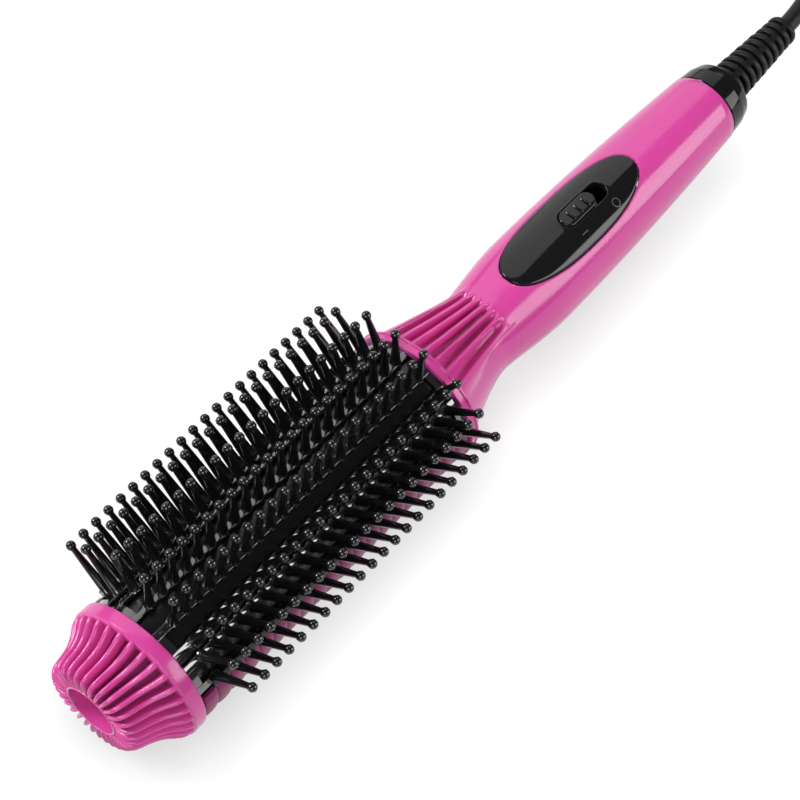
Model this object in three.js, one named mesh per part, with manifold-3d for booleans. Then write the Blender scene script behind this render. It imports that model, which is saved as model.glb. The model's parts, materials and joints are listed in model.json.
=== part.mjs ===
// A heated hair straightening comb: a round head with eight rows of ball-tipped pins on a black
// heated barrel, a finned nose, a fluted neck, a round handle with a slide switch, and a swivel cord.
// Millimetres, +Z up. The comb lies on its back on the plane z = 0, pins up, nose towards -X.
import * as THREE from 'three';
import { mergeVertices } from 'three/addons/utils/BufferGeometryUtils.js';
import Module from 'manifold-3d';

const wasm = await Module();
wasm.setup();

// Driving dimensions.
const gap = 0.3;                    // clearance between pieces that touch
const restFlat = 0.3;               // depth of the flats that the comb lies on
const chamfer = 0.4;

const noseLength = 21.9;            // nose front to the back of its rim
const rimWidth = 4.1;
const rimProud = 0.6;               // rim above the back shell
const rimLap = 0.9;                 // rim over the barrel's front edge
const noseHoleRadius = 9.8;
const noseTubeWall = 1;
const noseTubeDepth = 15;
const noseFloor = 1.5;
const finCount = 32;
const finThickness = 1.7;
const finDepth = 2.6;
const shoulderDrop = 8.4;           // from the rim in to where the fins turn to the front face

const headLength = 120.5;           // back of the nose rim to the front of the flange
const barrelRadius = 20.9;
const barrelWall = 1.5;
const stripHeight = 1.3;            // bristle strip above the barrel
const stripWidth = 2.7;
const pinPitch = 5.18;
const pinsPerRow = 22;
const firstPin = 7.3;               // behind the nose rim
const crossBarWidth = 2.4;
const pinSides = 3;
const pinBaseRadius = 1.25;         // to the corners of a three-sided pin
const pinNeckRadius = 1;
const ballRadius = 1.6;
const shellClearance = 0.4;         // back shell round the barrel
const shellRib = 1;                 // rib height
const shellRibPitch = 6.06;
const shellWall = 1.1;
const shellSpread = 104;            // degrees each side of the underside

const flangeWidth = 3.4;
const flangeStep = 2;               // from the flange down to the start of the neck
const neckRadius = 13.8;
const neckAt = 30;                  // behind the flange front
const gripRadius = 16.85;
const gripAt = 60.6;
const tailRadius = 13.35;
const handleLength = 153.4;
const handleWall = 2.2;
const ridgeCount = 7;
const ridgeStep = 12;               // degrees
const ridgeWidth = 0.9;
const ridgeHeight = 1.3;
const ridgeEnd = 35;                // behind the flange front

const panelLength = 64;
const panelWidth = 21.6;
const panelAt = 77.6;               // middle of the panel, behind the flange front
const panelThickness = 2.4;
const panelProud = 0.25;
const knobLength = 15.6;
const knobWidth = 6.4;
const knobProud = 1.5;
const knobTravel = 5.5;
const knobAt = 73.2;                // nose end of the knob at rest, behind the flange front
const knobPlateOverhang = 3;        // of the plate under the panel, at each end of the knob
const knobPlateWidth = 9.8;
const knobPlateThickness = 1;
const knobGrooveWidth = 0.5;
const knobGroovePitch = 1.1;
const knobGrooveGroup = 3.9;        // from one group of three grooves to the next
const sliderLength = 6;
const sliderWidth = 3;
const sliderHeight = 3.2;

const boardLength = 46;
const boardWidth = 19;
const boardThickness = 1.6;
const boardBottom = 1.2;            // above the comb's axis
const switchLength = 20;
const switchWidth = 8;
const switchHeight = 6.2;

const heaterLength = 84;
const heaterWidth = 15;
const heaterThickness = 5;
const insulationWall = 0.5;
const spreaderWall = 2.2;
const spreaderWeb = 2.2;
const leadRadius = 0.9;
const leadSpacing = 5.5;            // from the middle plane
const fuseRadius = 1.8;
const fuseLength = 9.5;

const screwRadius = 1.25;
const screwHeadRadius = 2.9;
const screwHeadHeight = 2.1;
const screwDrive = { reach: 1.9, halfWidth: 0.35, depth: 1.1 };
const screwLength = 14;
const frontBossAt = 39;             // behind the flange front
const rearBossShift = 0.75;         // from midway between the board and the contacts
const bossRadius = 3.2;
const bossWall = 1.2;               // round the heads of the screws

const capLength = 13.5;
const capRadius = 13;
const capFace = 5;                  // thickness of the wall that holds the bush
const leadHole = 2.2;               // through the slip ring and the bush
const bushRadius = 7.6;
const bushFlange = 10.4;
const slipRingRadius = 9;
const reliefGap = 0.8;              // between the end cap and the strain relief
const reliefLength = 33.9;
const reliefBaseRadius = 7.1;
const reliefTipRadius = 5.6;
const reliefRibs = 8;

const cordDiameter = 6.6;
const coilDistance = 123.7;         // from the strain relief to the coil's centre
const coilOuterRadius = 49.65;      // centreline of the outermost turn
const coilTurns = 3.05;             // turns in each of the two layers
const coilPitch = 7.3;              // from turn to turn
const coilLift = 7.2;               // from layer to layer
const coilStart = 92;               // degrees
const tieThickness = 0.6;
const tieWidth = 4;
const tieAngles = { left: 60, right: -60 };
const plugWidth = 34;
const plugThickness = 13.6;
const plugLength = 30;
const plugNeckLength = 6;
const plugNeckRadius = 4.6;
const plugTurn = -24;               // degrees, from the comb's axis
const plugPinRadius = 2;
const plugPinLength = 19;
const plugPinDepth = 8;             // of each pin in the plug
const plugPinSpacing = 19;

// Stations along the comb's axis, from the nose front.
const noseRimStart = noseLength - rimWidth;
const flangeFront = noseLength + headLength;
const flangeBack = flangeFront + flangeWidth;
const handleEnd = flangeFront + handleLength;
const capEnd = handleEnd + capLength;
const reliefStart = capEnd + reliefGap;
const reliefEnd = reliefStart + reliefLength;
const coilCentre = [reliefEnd + coilDistance, 0];

// Radii that follow from the barrel's.
const shellRadius = barrelRadius + shellClearance + shellWall + shellRib;
const rimRadius = shellRadius + rimProud;
const rimBore = barrelRadius - rimLap;
const shoulderRadius = rimRadius - shoulderDrop;
const flangeRadius = rimRadius;
const flareRadius = flangeRadius - flangeStep;
const axisHeight = rimRadius - restFlat;
const stripRadius = barrelRadius + gap + stripHeight;

// Materials.
const plastic = (color, roughness) => new THREE.MeshStandardMaterial({ color, roughness, metalness: 0 });
const metal = (color, roughness) => new THREE.MeshStandardMaterial({ color, roughness, metalness: 1 });
const pink = plastic(0xe0409f, 0.35);
const glossBlack = plastic(0x0b0b0c, 0.12);
const pinBlack = plastic(0x0c0c0d, 0.25);
const rubberBlack = plastic(0x141415, 0.5);
const heatproof = plastic(0x26262a, 0.6);
const steel = metal(0xb9bcc0, 0.3);
const aluminium = metal(0xc4c7cb, 0.4);
const brass = metal(0xc9a550, 0.3);
const film = plastic(0xb8782a, 0.4);
const board = plastic(0x1e6b3a, 0.5);

// Solids.
function outward(geometry) {
  const bare = new THREE.BufferGeometry();
  bare.setAttribute('position', geometry.getAttribute('position').clone());
  if (geometry.index) bare.setIndex(geometry.index.clone());
  return mergeVertices(bare, 1e-4);
}

function solid(geometry) {
  const merged = outward(geometry);
  const vertProperties = new Float32Array(merged.attributes.position.array);
  const triVerts = new Uint32Array(merged.index.array);
  const points = merged.attributes.position;
  const [a, b, c] = [new THREE.Vector3(), new THREE.Vector3(), new THREE.Vector3()];
  let volume = 0;
  for (let i = 0; i < triVerts.length; i += 3) {
    a.fromBufferAttribute(points, triVerts[i]);
    b.fromBufferAttribute(points, triVerts[i + 1]);
    c.fromBufferAttribute(points, triVerts[i + 2]);
    volume += a.dot(b.cross(c));
  }
  if (volume < 0) {
    for (let i = 0; i < triVerts.length; i += 3) {
      [triVerts[i + 1], triVerts[i + 2]] = [triVerts[i + 2], triVerts[i + 1]];
    }
  }
  return new wasm.Manifold(new wasm.Mesh({ numProp: 3, vertProperties, triVerts }));
}

function join(first, ...others) {
  return others.reduce((whole, piece) => whole.add(piece), first);
}

function cut(first, ...others) {
  return others.reduce((whole, piece) => whole.subtract(piece), first);
}

function geometryOf(manifold) {
  const mesh = manifold.getMesh();
  const geometry = new THREE.BufferGeometry();
  geometry.setAttribute('position', new THREE.BufferAttribute(new Float32Array(mesh.vertProperties), 3));
  geometry.setIndex(new THREE.BufferAttribute(new Uint32Array(mesh.triVerts), 1));
  geometry.computeVertexNormals();
  return geometry;
}

// A profile of [x, radius] points turned about the comb's axis.
function turned(profile, segments = 36) {
  const points = profile.map(([x, r]) => new THREE.Vector2(r, x));
  return solid(new THREE.LatheGeometry(points, segments).rotateZ(-Math.PI / 2));
}

// A solid of revolution whose profile closes on the axis at both ends.
function turnedSolid(profile, segments = 36) {
  return turned([[profile[0][0], 0], ...profile, [profile.at(-1)[0], 0]], segments);
}

// A ring or tube: an outer profile, and one inner radius.
function tube(outer, inner, segments = 36) {
  const [start, end] = [outer[0][0], outer.at(-1)[0]];
  return turned([...outer, [end, inner], [start, inner], outer[0]], segments);
}

function block(x0, x1, y0, y1, z0, z1) {
  const box = new THREE.BoxGeometry(x1 - x0, y1 - y0, z1 - z0);
  return solid(box.translate((x0 + x1) / 2, (y0 + y1) / 2, (z0 + z1) / 2));
}

// A shape drawn across the comb, in y and z, drawn out from x0 to x1.
function along(shape, x0, x1, curveSegments = 12) {
  const made = new THREE.ExtrudeGeometry(shape, { depth: x1 - x0, bevelEnabled: false, curveSegments });
  const turn = new THREE.Matrix4().makeBasis(
    new THREE.Vector3(0, 1, 0), new THREE.Vector3(0, 0, 1), new THREE.Vector3(1, 0, 0));
  return solid(made.applyMatrix4(turn).translate(x0, 0, 0));
}

// A shape seen from above, in x and y, raised from z0 to z1.
function raised(shape, z0, z1, curveSegments = 12) {
  const made = new THREE.ExtrudeGeometry(shape, { depth: z1 - z0, bevelEnabled: false, curveSegments });
  return solid(made.translate(0, 0, z0));
}

// An upright round post.
function post(x, y, radius, z0, z1, segments = 12) {
  return solid(new THREE.CylinderGeometry(radius, radius, z1 - z0, segments)
    .rotateX(Math.PI / 2).translate(x, y, (z0 + z1) / 2));
}

function polygon(points) {
  return new THREE.Shape(points.map(([a, b]) => new THREE.Vector2(a, b)));
}

const steps = (count, from, to) =>
  Array.from({ length: count + 1 }, (_, i) => from + (to - from) * i / count);

// The handle's outer radius at x.
function handleRadius(x) {
  const neck = flangeFront + neckAt;
  const grip = flangeFront + gripAt;
  if (x <= flangeBack) return flangeRadius;
  if (x < neck) {
    const t = (x - flangeBack) / (neck - flangeBack);
    return neckRadius + (flareRadius - neckRadius) * (1 - t) ** 1.8;
  }
  if (x < grip) {
    const t = ((x - neck) / (grip - neck)) ** 0.7;
    return neckRadius + (gripRadius - neckRadius) * t * t * (3 - 2 * t);
  }
  const t = Math.min(1, (x - grip) / (handleEnd - grip));
  return gripRadius - (gripRadius - tailRadius) * t ** 1.8;
}

// The nose: a finned cage on a central tube, with a rim that covers the barrel's front edge.
function noseCap() {
  const tubeOuter = noseHoleRadius + noseTubeWall;
  const finRoot = tubeOuter - 0.5;
  const sideCurve = [[3, shoulderRadius + 1.3], [9, shoulderRadius + 3.2], [13, shoulderRadius + 6],
    [noseRimStart + 0.5, rimRadius - 0.5]];
  const behind = sideCurve.map(([x, r]) => [x, r - finDepth]).toReversed();
  const side = new THREE.ExtrudeGeometry(
    polygon([[0, finRoot], [0, shoulderRadius - 1.8], [1, shoulderRadius], ...sideCurve, ...behind,
      [finDepth, finRoot]]),
    { depth: finThickness, bevelEnabled: false });
  side.translate(0, 0, -finThickness / 2).rotateX(Math.PI / 2);
  const fins = Array.from({ length: finCount }, (_, i) =>
    solid(side.clone().rotateX((i + 0.5) * 2 * Math.PI / finCount)));
  const rim = tube([[noseRimStart, rimRadius - chamfer], [noseRimStart + chamfer, rimRadius],
    [noseLength - chamfer, rimRadius], [noseLength, rimRadius - chamfer]], rimBore, finCount);
  const inside = turned([[0, noseHoleRadius], [0, tubeOuter], [noseTubeDepth, tubeOuter],
    [noseTubeDepth, screwRadius + gap], [noseTubeDepth - noseFloor, screwRadius + gap],
    [noseTubeDepth - noseFloor, noseHoleRadius], [0, noseHoleRadius]], finCount / 2);
  return cut(join(rim, inside, ...fins), underRest());
}

// Everything below the plane that the comb lies on.
function underRest() {
  return block(-5, capEnd, -rimRadius, rimRadius, -2 * rimRadius, -axisHeight);
}

function screw(x, headBottom, shankEnd, axis) {
  const made = turnedSolid([[0, screwHeadRadius * 0.8], [0.5, screwHeadRadius],
    [screwHeadHeight, screwHeadRadius], [screwHeadHeight, screwRadius],
    [shankEnd - headBottom, screwRadius]], 12);
  const { reach, halfWidth, depth } = screwDrive;
  const driven = cut(made, block(-1, depth, -reach, reach, -halfWidth, halfWidth),
    block(-1, depth, -halfWidth, halfWidth, -reach, reach));
  if (axis === 'x') return driven.translate([headBottom, 0, 0]);
  return driven.rotate([0, -90, 0]).translate([x, 0, headBottom]);
}

const spigot = barrelRadius - barrelWall - gap;

// The heat-resistant plug that closes the barrel's front and takes the nose screw.
function frontCollar() {
  const plateStart = noseTubeDepth + gap;
  const step = plateStart + 0.9;
  const lip = rimBore - 0.6;
  const body = turnedSolid([[plateStart, 6], [step, 6], [step, lip], [noseLength - 1, lip],
    [noseLength - 1, spigot], [noseLength + 8.5, spigot]], 24);
  const hole = screwRadius + gap;
  const screwHole = turnedSolid([[plateStart - 1, hole], [noseLength + 1, hole]], 12);
  const hollow = turnedSolid([[noseLength + 2, spigot - 2], [noseLength + 9, spigot - 2]], 24);
  return cut(body, screwHole, hollow);
}

function barrel() {
  const outer = [[noseLength + 0.6, barrelRadius], [flangeFront - 0.4, barrelRadius]];
  return tube(outer, barrelRadius - barrelWall);
}

// The rows of pins, from the middle outwards: the direction and distance of the tip balls from the
// axis, how far the pins lean from upright, and each side's shift along the comb.
const rows = [
  { tip: 8.5, reach: 36.6, lean: 4.3, shift: [-0.2, 0] },
  { tip: 29.2, reach: 36.6, lean: 25.3, shift: [1.4, 1] },
  { tip: 45.6, reach: 38.7, lean: 46.9, shift: [-1.2, -0.2] },
  { tip: 59.2, reach: 40, lean: 49.9, shift: [-0.9, 0.3] },
];

const pinRoot = 0.4;                // of each pin in its strip

const onCircle = (degrees, radius) => [
  radius * Math.sin(THREE.MathUtils.degToRad(degrees)), radius * Math.cos(THREE.MathUtils.degToRad(degrees)),
];

// Where a row's pins stand on their strip, and how long they are.
function pinFoot({ tip, reach, lean }) {
  const [tipY, tipZ] = onCircle(tip, reach);
  const [leanY, leanZ] = onCircle(lean, 1);
  const inward = tipY * leanY + tipZ * leanZ;
  const length = inward - Math.sqrt(inward ** 2 - reach ** 2 + (stripRadius - pinRoot) ** 2);
  const [footY, footZ] = [tipY - leanY * length, tipZ - leanZ * length];
  return { footY, footZ, length, angle: THREE.MathUtils.radToDeg(Math.atan2(footY, footZ)) };
}

function pin(length) {
  const outline = [[0, 0], [0, pinBaseRadius], [length - 1.2, pinNeckRadius], [length, ballRadius * 1.15],
    [length + ballRadius, 0]];
  return solid(new THREE.LatheGeometry(outline.map(([h, r]) => new THREE.Vector2(r, h)), pinSides)
    .rotateX(Math.PI / 2));
}

// A curved bar along the head, between two angles from the top.
function strip(from, to, x0, x1) {
  const [inner, outer] = [barrelRadius + gap, stripRadius];
  const angles = steps(Math.max(2, Math.round(Math.abs(to - from) / 6)), from, to);
  return along(polygon([...angles.map((a) => onCircle(a, outer)),
    ...angles.toReversed().map((a) => onCircle(a, inner))]), x0, x1);
}

// Two rows of pins on a frame of two strips and their cross bars. Side is 1 towards +Y, -1 towards -Y.
function bristleBar(pair, side) {
  const [start, end] = [noseLength + gap, flangeFront - gap];
  const half = THREE.MathUtils.radToDeg(stripWidth / 2 / stripRadius);
  const feet = pair.map(pinFoot);
  const strips = feet.map(({ angle }) => strip(angle - half, angle + half, start, end));
  const crossBars = [start, (start + end - crossBarWidth) / 2, end - crossBarWidth].map((x) =>
    strip(feet[0].angle, feet[1].angle, x, x + crossBarWidth));
  const pins = pair.flatMap(({ lean, shift }, row) => Array.from({ length: pinsPerRow }, (_, i) => {
    const x = noseLength + firstPin + i * pinPitch + shift[side > 0 ? 0 : 1];
    return pin(feet[row].length).rotate([-lean, 0, 0]).translate([x, feet[row].footY, feet[row].footZ]);
  }));
  const made = join(...strips, ...crossBars, ...pins);
  return side > 0 ? made : made.mirror([0, 1, 0]);
}

// The back shell: a ribbed half round behind the pins, swept about the axis from edge to edge.
function backShell() {
  const [start, end] = [noseLength + 0.5, flangeFront - 0.5];
  const count = Math.round((end - start) / shellRibPitch);
  const pitch = (end - start) / count;
  const outer = [[start, shellRadius - shellRib]];
  for (let i = 0; i < count; i++) {
    outer.push([start + pitch * (i + 0.5), shellRadius], [start + pitch * (i + 1), shellRadius - shellRib]);
  }
  const inner = shellRadius - shellRib - shellWall;
  const profile = [[start, inner], [end, inner], ...outer.toReversed()];
  const angles = steps(12, 180 - shellSpread, 180 + shellSpread);
  const points = angles.flatMap((a) => {
    const [y, z] = onCircle(a, 1);
    return profile.map(([x, r]) => [x, y * r, z * r]);
  });
  const size = profile.length;
  const last = (angles.length - 1) * size;
  const faces = [];
  for (let p = 0; p < last; p += size) {
    for (let i = 0; i < size; i++) {
      const j = (i + 1) % size;
      faces.push(p + i, p + size + i, p + size + j, p + i, p + size + j, p + j);
    }
  }
  const flat = profile.map(([x, r]) => new THREE.Vector2(x, r));
  for (const [i, j, k] of THREE.ShapeUtils.triangulateShape(flat, [])) {
    faces.push(i, j, k, last + k, last + j, last + i);
  }
  const geometry = new THREE.BufferGeometry();
  geometry.setAttribute('position', new THREE.Float32BufferAttribute(points.flat(), 3));
  geometry.setIndex(faces);
  return solid(geometry);
}

const heaterStart = noseLength + 17.3;
const heaterEnd = heaterStart + heaterLength;

// The ceramic heater bar and the film round it.
function heater() {
  const [y, z] = [heaterWidth / 2, heaterThickness / 2];
  return block(heaterStart, heaterEnd, -y, y, -z, z);
}

function insulation() {
  const inner = { y: heaterWidth / 2 + gap, z: heaterThickness / 2 + gap };
  const outer = { y: inner.y + insulationWall, z: inner.z + insulationWall };
  return cut(block(heaterStart - 1, heaterEnd + 1, -outer.y, outer.y, -outer.z, outer.z),
    block(heaterStart - 2, heaterEnd + 2, -inner.y, inner.y, -inner.z, inner.z));
}

// Half of the aluminium spreader that presses the heater against the barrel.
function heatSpreader(up) {
  const radius = barrelRadius - barrelWall - gap - 0.1;
  const flat = heaterThickness / 2 + insulationWall + 2 * gap;
  const outline = (r, z) => {
    const edge = THREE.MathUtils.radToDeg(Math.acos(z / r));
    return polygon(steps(12, -edge, edge).map((a) => onCircle(a, r)));
  };
  const body = along(outline(radius, flat), heaterStart - 2, heaterEnd + 2);
  const space = along(outline(radius - spreaderWall, flat + spreaderWall), heaterStart - 3, heaterEnd + 3);
  const web = block(heaterStart - 3, heaterEnd + 3, -spreaderWeb / 2, spreaderWeb / 2, 0, radius);
  const made = cut(body, cut(space, web));
  return up ? made : made.rotate([180, 0, 0]);
}

// The collar that carries the barrel in the handle's flange.
function rearCollar() {
  const lip = flangeRadius - handleWall - gap;
  return tube([[flangeFront - 8, spigot], [flangeFront, spigot], [flangeFront, lip], [flangeBack - 1, lip],
    [flangeBack - 1, flareRadius - handleWall - 4]], 9, 24);
}

// A wire: a tube of six sides along a smooth curve through its points.
function wire(points, radius = leadRadius, count = 7) {
  const path = new THREE.CatmullRomCurve3(points.map((p) => new THREE.Vector3(...p)));
  const section = new THREE.Shape(steps(5, 0, 5).map((k) =>
    new THREE.Vector2(radius * Math.cos(k * Math.PI / 3), radius * Math.sin(k * Math.PI / 3))));
  return solid(new THREE.ExtrudeGeometry(section, { extrudePath: path, steps: count, bevelEnabled: false }));
}

const boardFront = flangeFront + panelAt - boardLength / 2 + 1.7;
const boardBack = boardFront + boardLength;
const boardMiddle = boardBottom + boardThickness / 2;
const fuseEnd = heaterEnd + 1 + gap + fuseLength;

function heaterLead(side) {
  const y = side * leadSpacing;
  const start = side > 0 ? fuseEnd + gap : heaterEnd + 1 + gap;
  return wire([[start, y, 0], [start + 12, y, 0], [flangeFront + 30, y, 0],
    [boardFront - 8, y, boardMiddle], [boardFront - gap, y, boardMiddle]]);
}

function thermalFuse() {
  return turnedSolid([[heaterEnd + 1 + gap, fuseRadius], [fuseEnd, fuseRadius]], 16)
    .translate([0, leadSpacing, 0]);
}

const springStart = handleEnd - 5.9;
const carrierStart = springStart - 2.3;

function supplyLead(side) {
  const y = side * leadSpacing;
  return wire([[boardBack + gap, y, boardMiddle], [boardBack + 8, y, boardMiddle],
    [carrierStart - 10, y, 0], [carrierStart - gap, y, 0]], leadRadius, 6);
}

// The handle's hollow body, before it is split into its two shells.
function handleBody() {
  const [neck, grip] = [flangeFront + neckAt, flangeFront + gripAt];
  const stations = [flangeBack + 0.01, ...steps(4, flangeBack + 2.5, neck), ...steps(2, neck + 8, grip),
    ...steps(3, grip + 23, handleEnd)];
  const outer = [[flangeFront, flangeRadius - 0.5], [flangeFront + 0.5, flangeRadius],
    [flangeBack, flangeRadius], ...stations.map((x) => [x, handleRadius(x)])];
  const inside = [flangeFront, flangeBack, flangeBack + 7, neck, grip - 8, handleEnd - 50, handleEnd];
  const underRidges = (x) => (x > flangeBack && x < neck ? 1.2 : 0);
  const inner = inside.map((x) => [x, handleRadius(x) - handleWall - underRidges(x)]);
  return turned([...outer, ...inner.toReversed(), outer[0]], 28);
}

// The neck's ridges, fanned about the top.
function ridges() {
  const [start, end] = [flangeBack - 0.6, flangeFront + ridgeEnd];
  const crest = steps(4, start, end).map((x) => {
    const t = (x - start) / (end - start);
    return [x, handleRadius(Math.max(x, flangeBack + 0.1)) + ridgeHeight * Math.min(1, 4 * (1 - t))];
  });
  const side = new THREE.ExtrudeGeometry(
    polygon([...crest, ...crest.toReversed().map(([x, r]) => [x, r - ridgeHeight - 1])]),
    { depth: ridgeWidth, bevelEnabled: false });
  side.translate(0, 0, -ridgeWidth / 2).rotateX(Math.PI / 2);
  const middle = (ridgeCount - 1) / 2;
  return Array.from({ length: ridgeCount }, (_, i) =>
    solid(side.clone().rotateX(THREE.MathUtils.degToRad((i - middle) * ridgeStep))));
}

// The panel's outline, grown by a margin: a rounded oval.
function panelOutline(margin) {
  const middle = flangeFront + panelAt;
  const power = 2 / 2.4;
  const [a, b] = [panelLength / 2 + margin, panelWidth / 2 + margin];
  return polygon(steps(27, 0, 27).map((k) => {
    const angle = k * Math.PI / 14;
    const [c, s] = [Math.cos(angle), Math.sin(angle)];
    return [middle + a * Math.sign(c) * Math.abs(c) ** power, b * Math.sign(s) * Math.abs(s) ** power];
  }));
}

// A slot's outline: a rectangle with round ends.
function stadium(x0, x1, width) {
  const half = width / 2;
  const shape = new THREE.Shape();
  shape.absarc(x1 - half, 0, half, -Math.PI / 2, Math.PI / 2, false);
  shape.absarc(x0 + half, 0, half, Math.PI / 2, 3 * Math.PI / 2, false);
  return shape;
}

const boss = { front: flangeFront + frontBossAt, rear: (boardBack + carrierStart) / 2 + rearBossShift };
const screwHeadBottom = -7.9;
const screwSeat = screwHeadBottom + screwHeadHeight + gap;

function topShell() {
  const upper = block(flangeFront - 1, handleEnd + 1, -30, 30, gap / 2, 40);
  const inside = handleInside();
  const bosses = [boss.front, boss.rear].map((x) =>
    post(x, 0, bossRadius, gap / 2, gripRadius + 2).intersect(inside));
  const holes = [boss.front, boss.rear].map((x) =>
    post(x, 0, screwRadius + gap, -1, screwHeadBottom + screwLength + 1));
  const opening = raised(panelOutline(gap), 4, 30);
  return cut(join(handleBody(), ...ridges()).intersect(upper).add(join(...bosses)), ...holes, opening);
}

// The space within the handle's wall, a little into it, so that bosses fuse with the wall.
function handleInside() {
  const stations = steps(10, flangeFront + neckAt - 4, handleEnd - 1);
  return turnedSolid(stations.map((x) => [x, handleRadius(x) - handleWall / 2]), 32);
}

function bottomShell() {
  const lower = block(flangeFront - 1, handleEnd + 1, -30, 30, -40, -gap / 2);
  const inside = handleInside();
  const bosses = [boss.front, boss.rear].map((x) =>
    post(x, 0, bossRadius + bossWall, -gripRadius - 2, -gap / 2).intersect(inside));
  const holes = [boss.front, boss.rear].flatMap((x) => [
    post(x, 0, screwRadius + gap, -20, 1), post(x, 0, screwHeadRadius + gap, -20, screwSeat)]);
  const rests = [boardFront + 6, boardBack - 10].map((x) =>
    block(x, x + 4, -7, 7, -gripRadius, boardBottom - gap).intersect(inside));
  const body = handleBody().intersect(lower);
  return cut(join(body, ...bosses, ...rests), ...holes, underRest());
}

// The glossy panel round the switch.
function switchPanel() {
  const middle = flangeFront + panelAt;
  const stations = steps(6, middle - panelLength / 2 - 2, middle + panelLength / 2 + 2);
  const skin = turned([...stations.map((x) => [x, handleRadius(x) + panelProud]),
    ...stations.toReversed().map((x) => [x, handleRadius(x) + panelProud - panelThickness]),
    [stations[0], handleRadius(stations[0]) + panelProud]], 48);
  const slot = stadium(knobStart - gap, knobStart + knobLength + knobTravel + gap, knobWidth + 2 * gap);
  return cut(skin.intersect(raised(panelOutline(0), 5, 30)), raised(slot, 5, 30, 6));
}

const knobStart = flangeFront + knobAt;
const knobMiddle = knobStart + knobLength / 2;
const panelTop = handleRadius(knobMiddle) + panelProud;

// The panel falls towards the cord, so the plate clears it where the knob's travel ends.
const plateReach = knobStart + knobLength + knobPlateOverhang + knobTravel;
const lowestPanel = handleRadius(plateReach) + panelProud - panelThickness;
const plateTop = Math.sqrt(lowestPanel ** 2 - (knobPlateWidth / 2) ** 2) - gap;
const plateBottom = plateTop - knobPlateThickness;
const sliderTop = plateBottom - gap;

// The knob: a ribbed pad through the slot, on a plate that runs under the panel.
function switchKnob() {
  const outline = stadium(knobStart, knobStart + knobLength, knobWidth);
  const pad = raised(outline, plateTop - 0.5, panelTop + knobProud, 6);
  const plate = block(knobStart - knobPlateOverhang, knobStart + knobLength + knobPlateOverhang,
    -knobPlateWidth / 2, knobPlateWidth / 2, plateBottom, plateTop);
  const grooves = [-1, 0, 1].flatMap((group) => [-1, 0, 1].map((k) => {
    const x = knobMiddle + group * knobGrooveGroup + k * knobGroovePitch;
    return block(x - knobGrooveWidth / 2, x + knobGrooveWidth / 2, -knobWidth, knobWidth,
      panelTop + knobProud - 0.5, panelTop + knobProud + 1);
  }));
  return cut(join(pad, plate), ...grooves);
}

// The switch's own slider, which the knob's plate drives.
function switchSlider() {
  const [x, y] = [sliderLength / 2, sliderWidth / 2];
  return block(knobMiddle - x, knobMiddle + x, -y, y, sliderTop - sliderHeight, sliderTop);
}

function switchBody() {
  const bottom = boardBottom + boardThickness + gap;
  const middle = knobMiddle + knobTravel / 2;
  const body = block(middle - switchLength / 2, middle + switchLength / 2, -switchWidth / 2, switchWidth / 2,
    bottom, bottom + switchHeight);
  const [halfLength, halfWidth] = [sliderLength / 2 + gap, sliderWidth / 2 + gap];
  return cut(body, block(knobMiddle - halfLength, knobMiddle + knobTravel + halfLength, -halfWidth, halfWidth,
    sliderTop - sliderHeight - gap, bottom + switchHeight + 1));
}

function circuitBoard() {
  const y = boardWidth / 2;
  return block(boardFront, boardBack, -y, y, boardBottom, boardBottom + boardThickness);
}

// The plastic carrier of the swivel's two contacts.
function contactCarrier() {
  const radius = tailRadius - handleWall - gap;
  return turnedSolid([[carrierStart, radius], [springStart - gap, radius]], 24);
}

// A sprung contact finger that rubs on the slip ring.
function contactSpring(side) {
  const z = side * 5;
  const reach = ringStart - gap;
  return join(block(springStart, springStart + 0.6, -1.5, 1.5, z - 2.4, z + 2.4),
    block(springStart, reach, -1.5, 1.5, z - 0.4, z + 0.4));
}

const ringStart = handleEnd - 2.6;
const bushStart = handleEnd + 0.5;

function slipRing() {
  return tube([[ringStart, slipRingRadius], [bushStart - gap, slipRingRadius]], leadHole, 24);
}

// The end cap closes the handle and holds the swivel bush by its flange.
function endCap() {
  const face = capEnd - capFace;
  return turned([[handleEnd + gap, capRadius], [capEnd - 5.4, capRadius - 0.4],
    [capEnd - 2.6, capRadius - 1.1], [capEnd - 0.8, capRadius - 2.2], [capEnd, capRadius - 3.6],
    [capEnd, bushRadius + gap], [face, bushRadius + gap], [face, bushFlange + gap],
    [handleEnd + gap, bushFlange + gap], [handleEnd + gap, capRadius]], 24);
}

function swivelBush() {
  const face = capEnd - capFace - gap;
  return tube([[bushStart, bushFlange], [face, bushFlange], [face, bushRadius],
    [reliefStart - gap, bushRadius]], leadHole, 24);
}

// The ribbed boot on the cord, tapering from its base disc to its tip.
function strainRelief() {
  const disc = reliefStart + 2.6;
  const tip = reliefEnd - 3.4;
  const pitch = (tip - disc) / reliefRibs;
  const profile = [[reliefStart, reliefBaseRadius], [disc, reliefBaseRadius]];
  for (let i = 0; i < reliefRibs; i++) {
    const r = THREE.MathUtils.lerp(reliefBaseRadius - 0.2, reliefTipRadius, i / (reliefRibs - 1));
    const x = disc + i * pitch;
    profile.push([x + 0.25 * pitch, r - 1.1], [x + 0.6 * pitch, r]);
  }
  profile.push([tip, reliefTipRadius], [reliefEnd - 0.8, reliefTipRadius],
    [reliefEnd, reliefTipRadius - 0.6]);
  return turnedSolid(profile, 14);
}

// The cord. Heights are above the plane that the comb lies on.
const layerHeight = tieThickness + gap + cordDiameter / 2;
const coilTop = layerHeight + coilLift + cordDiameter / 2;

function cordLine(points) {
  return new THREE.CatmullRomCurve3(points.map((p) => new THREE.Vector3(...p)), false, 'centripetal');
}

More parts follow.
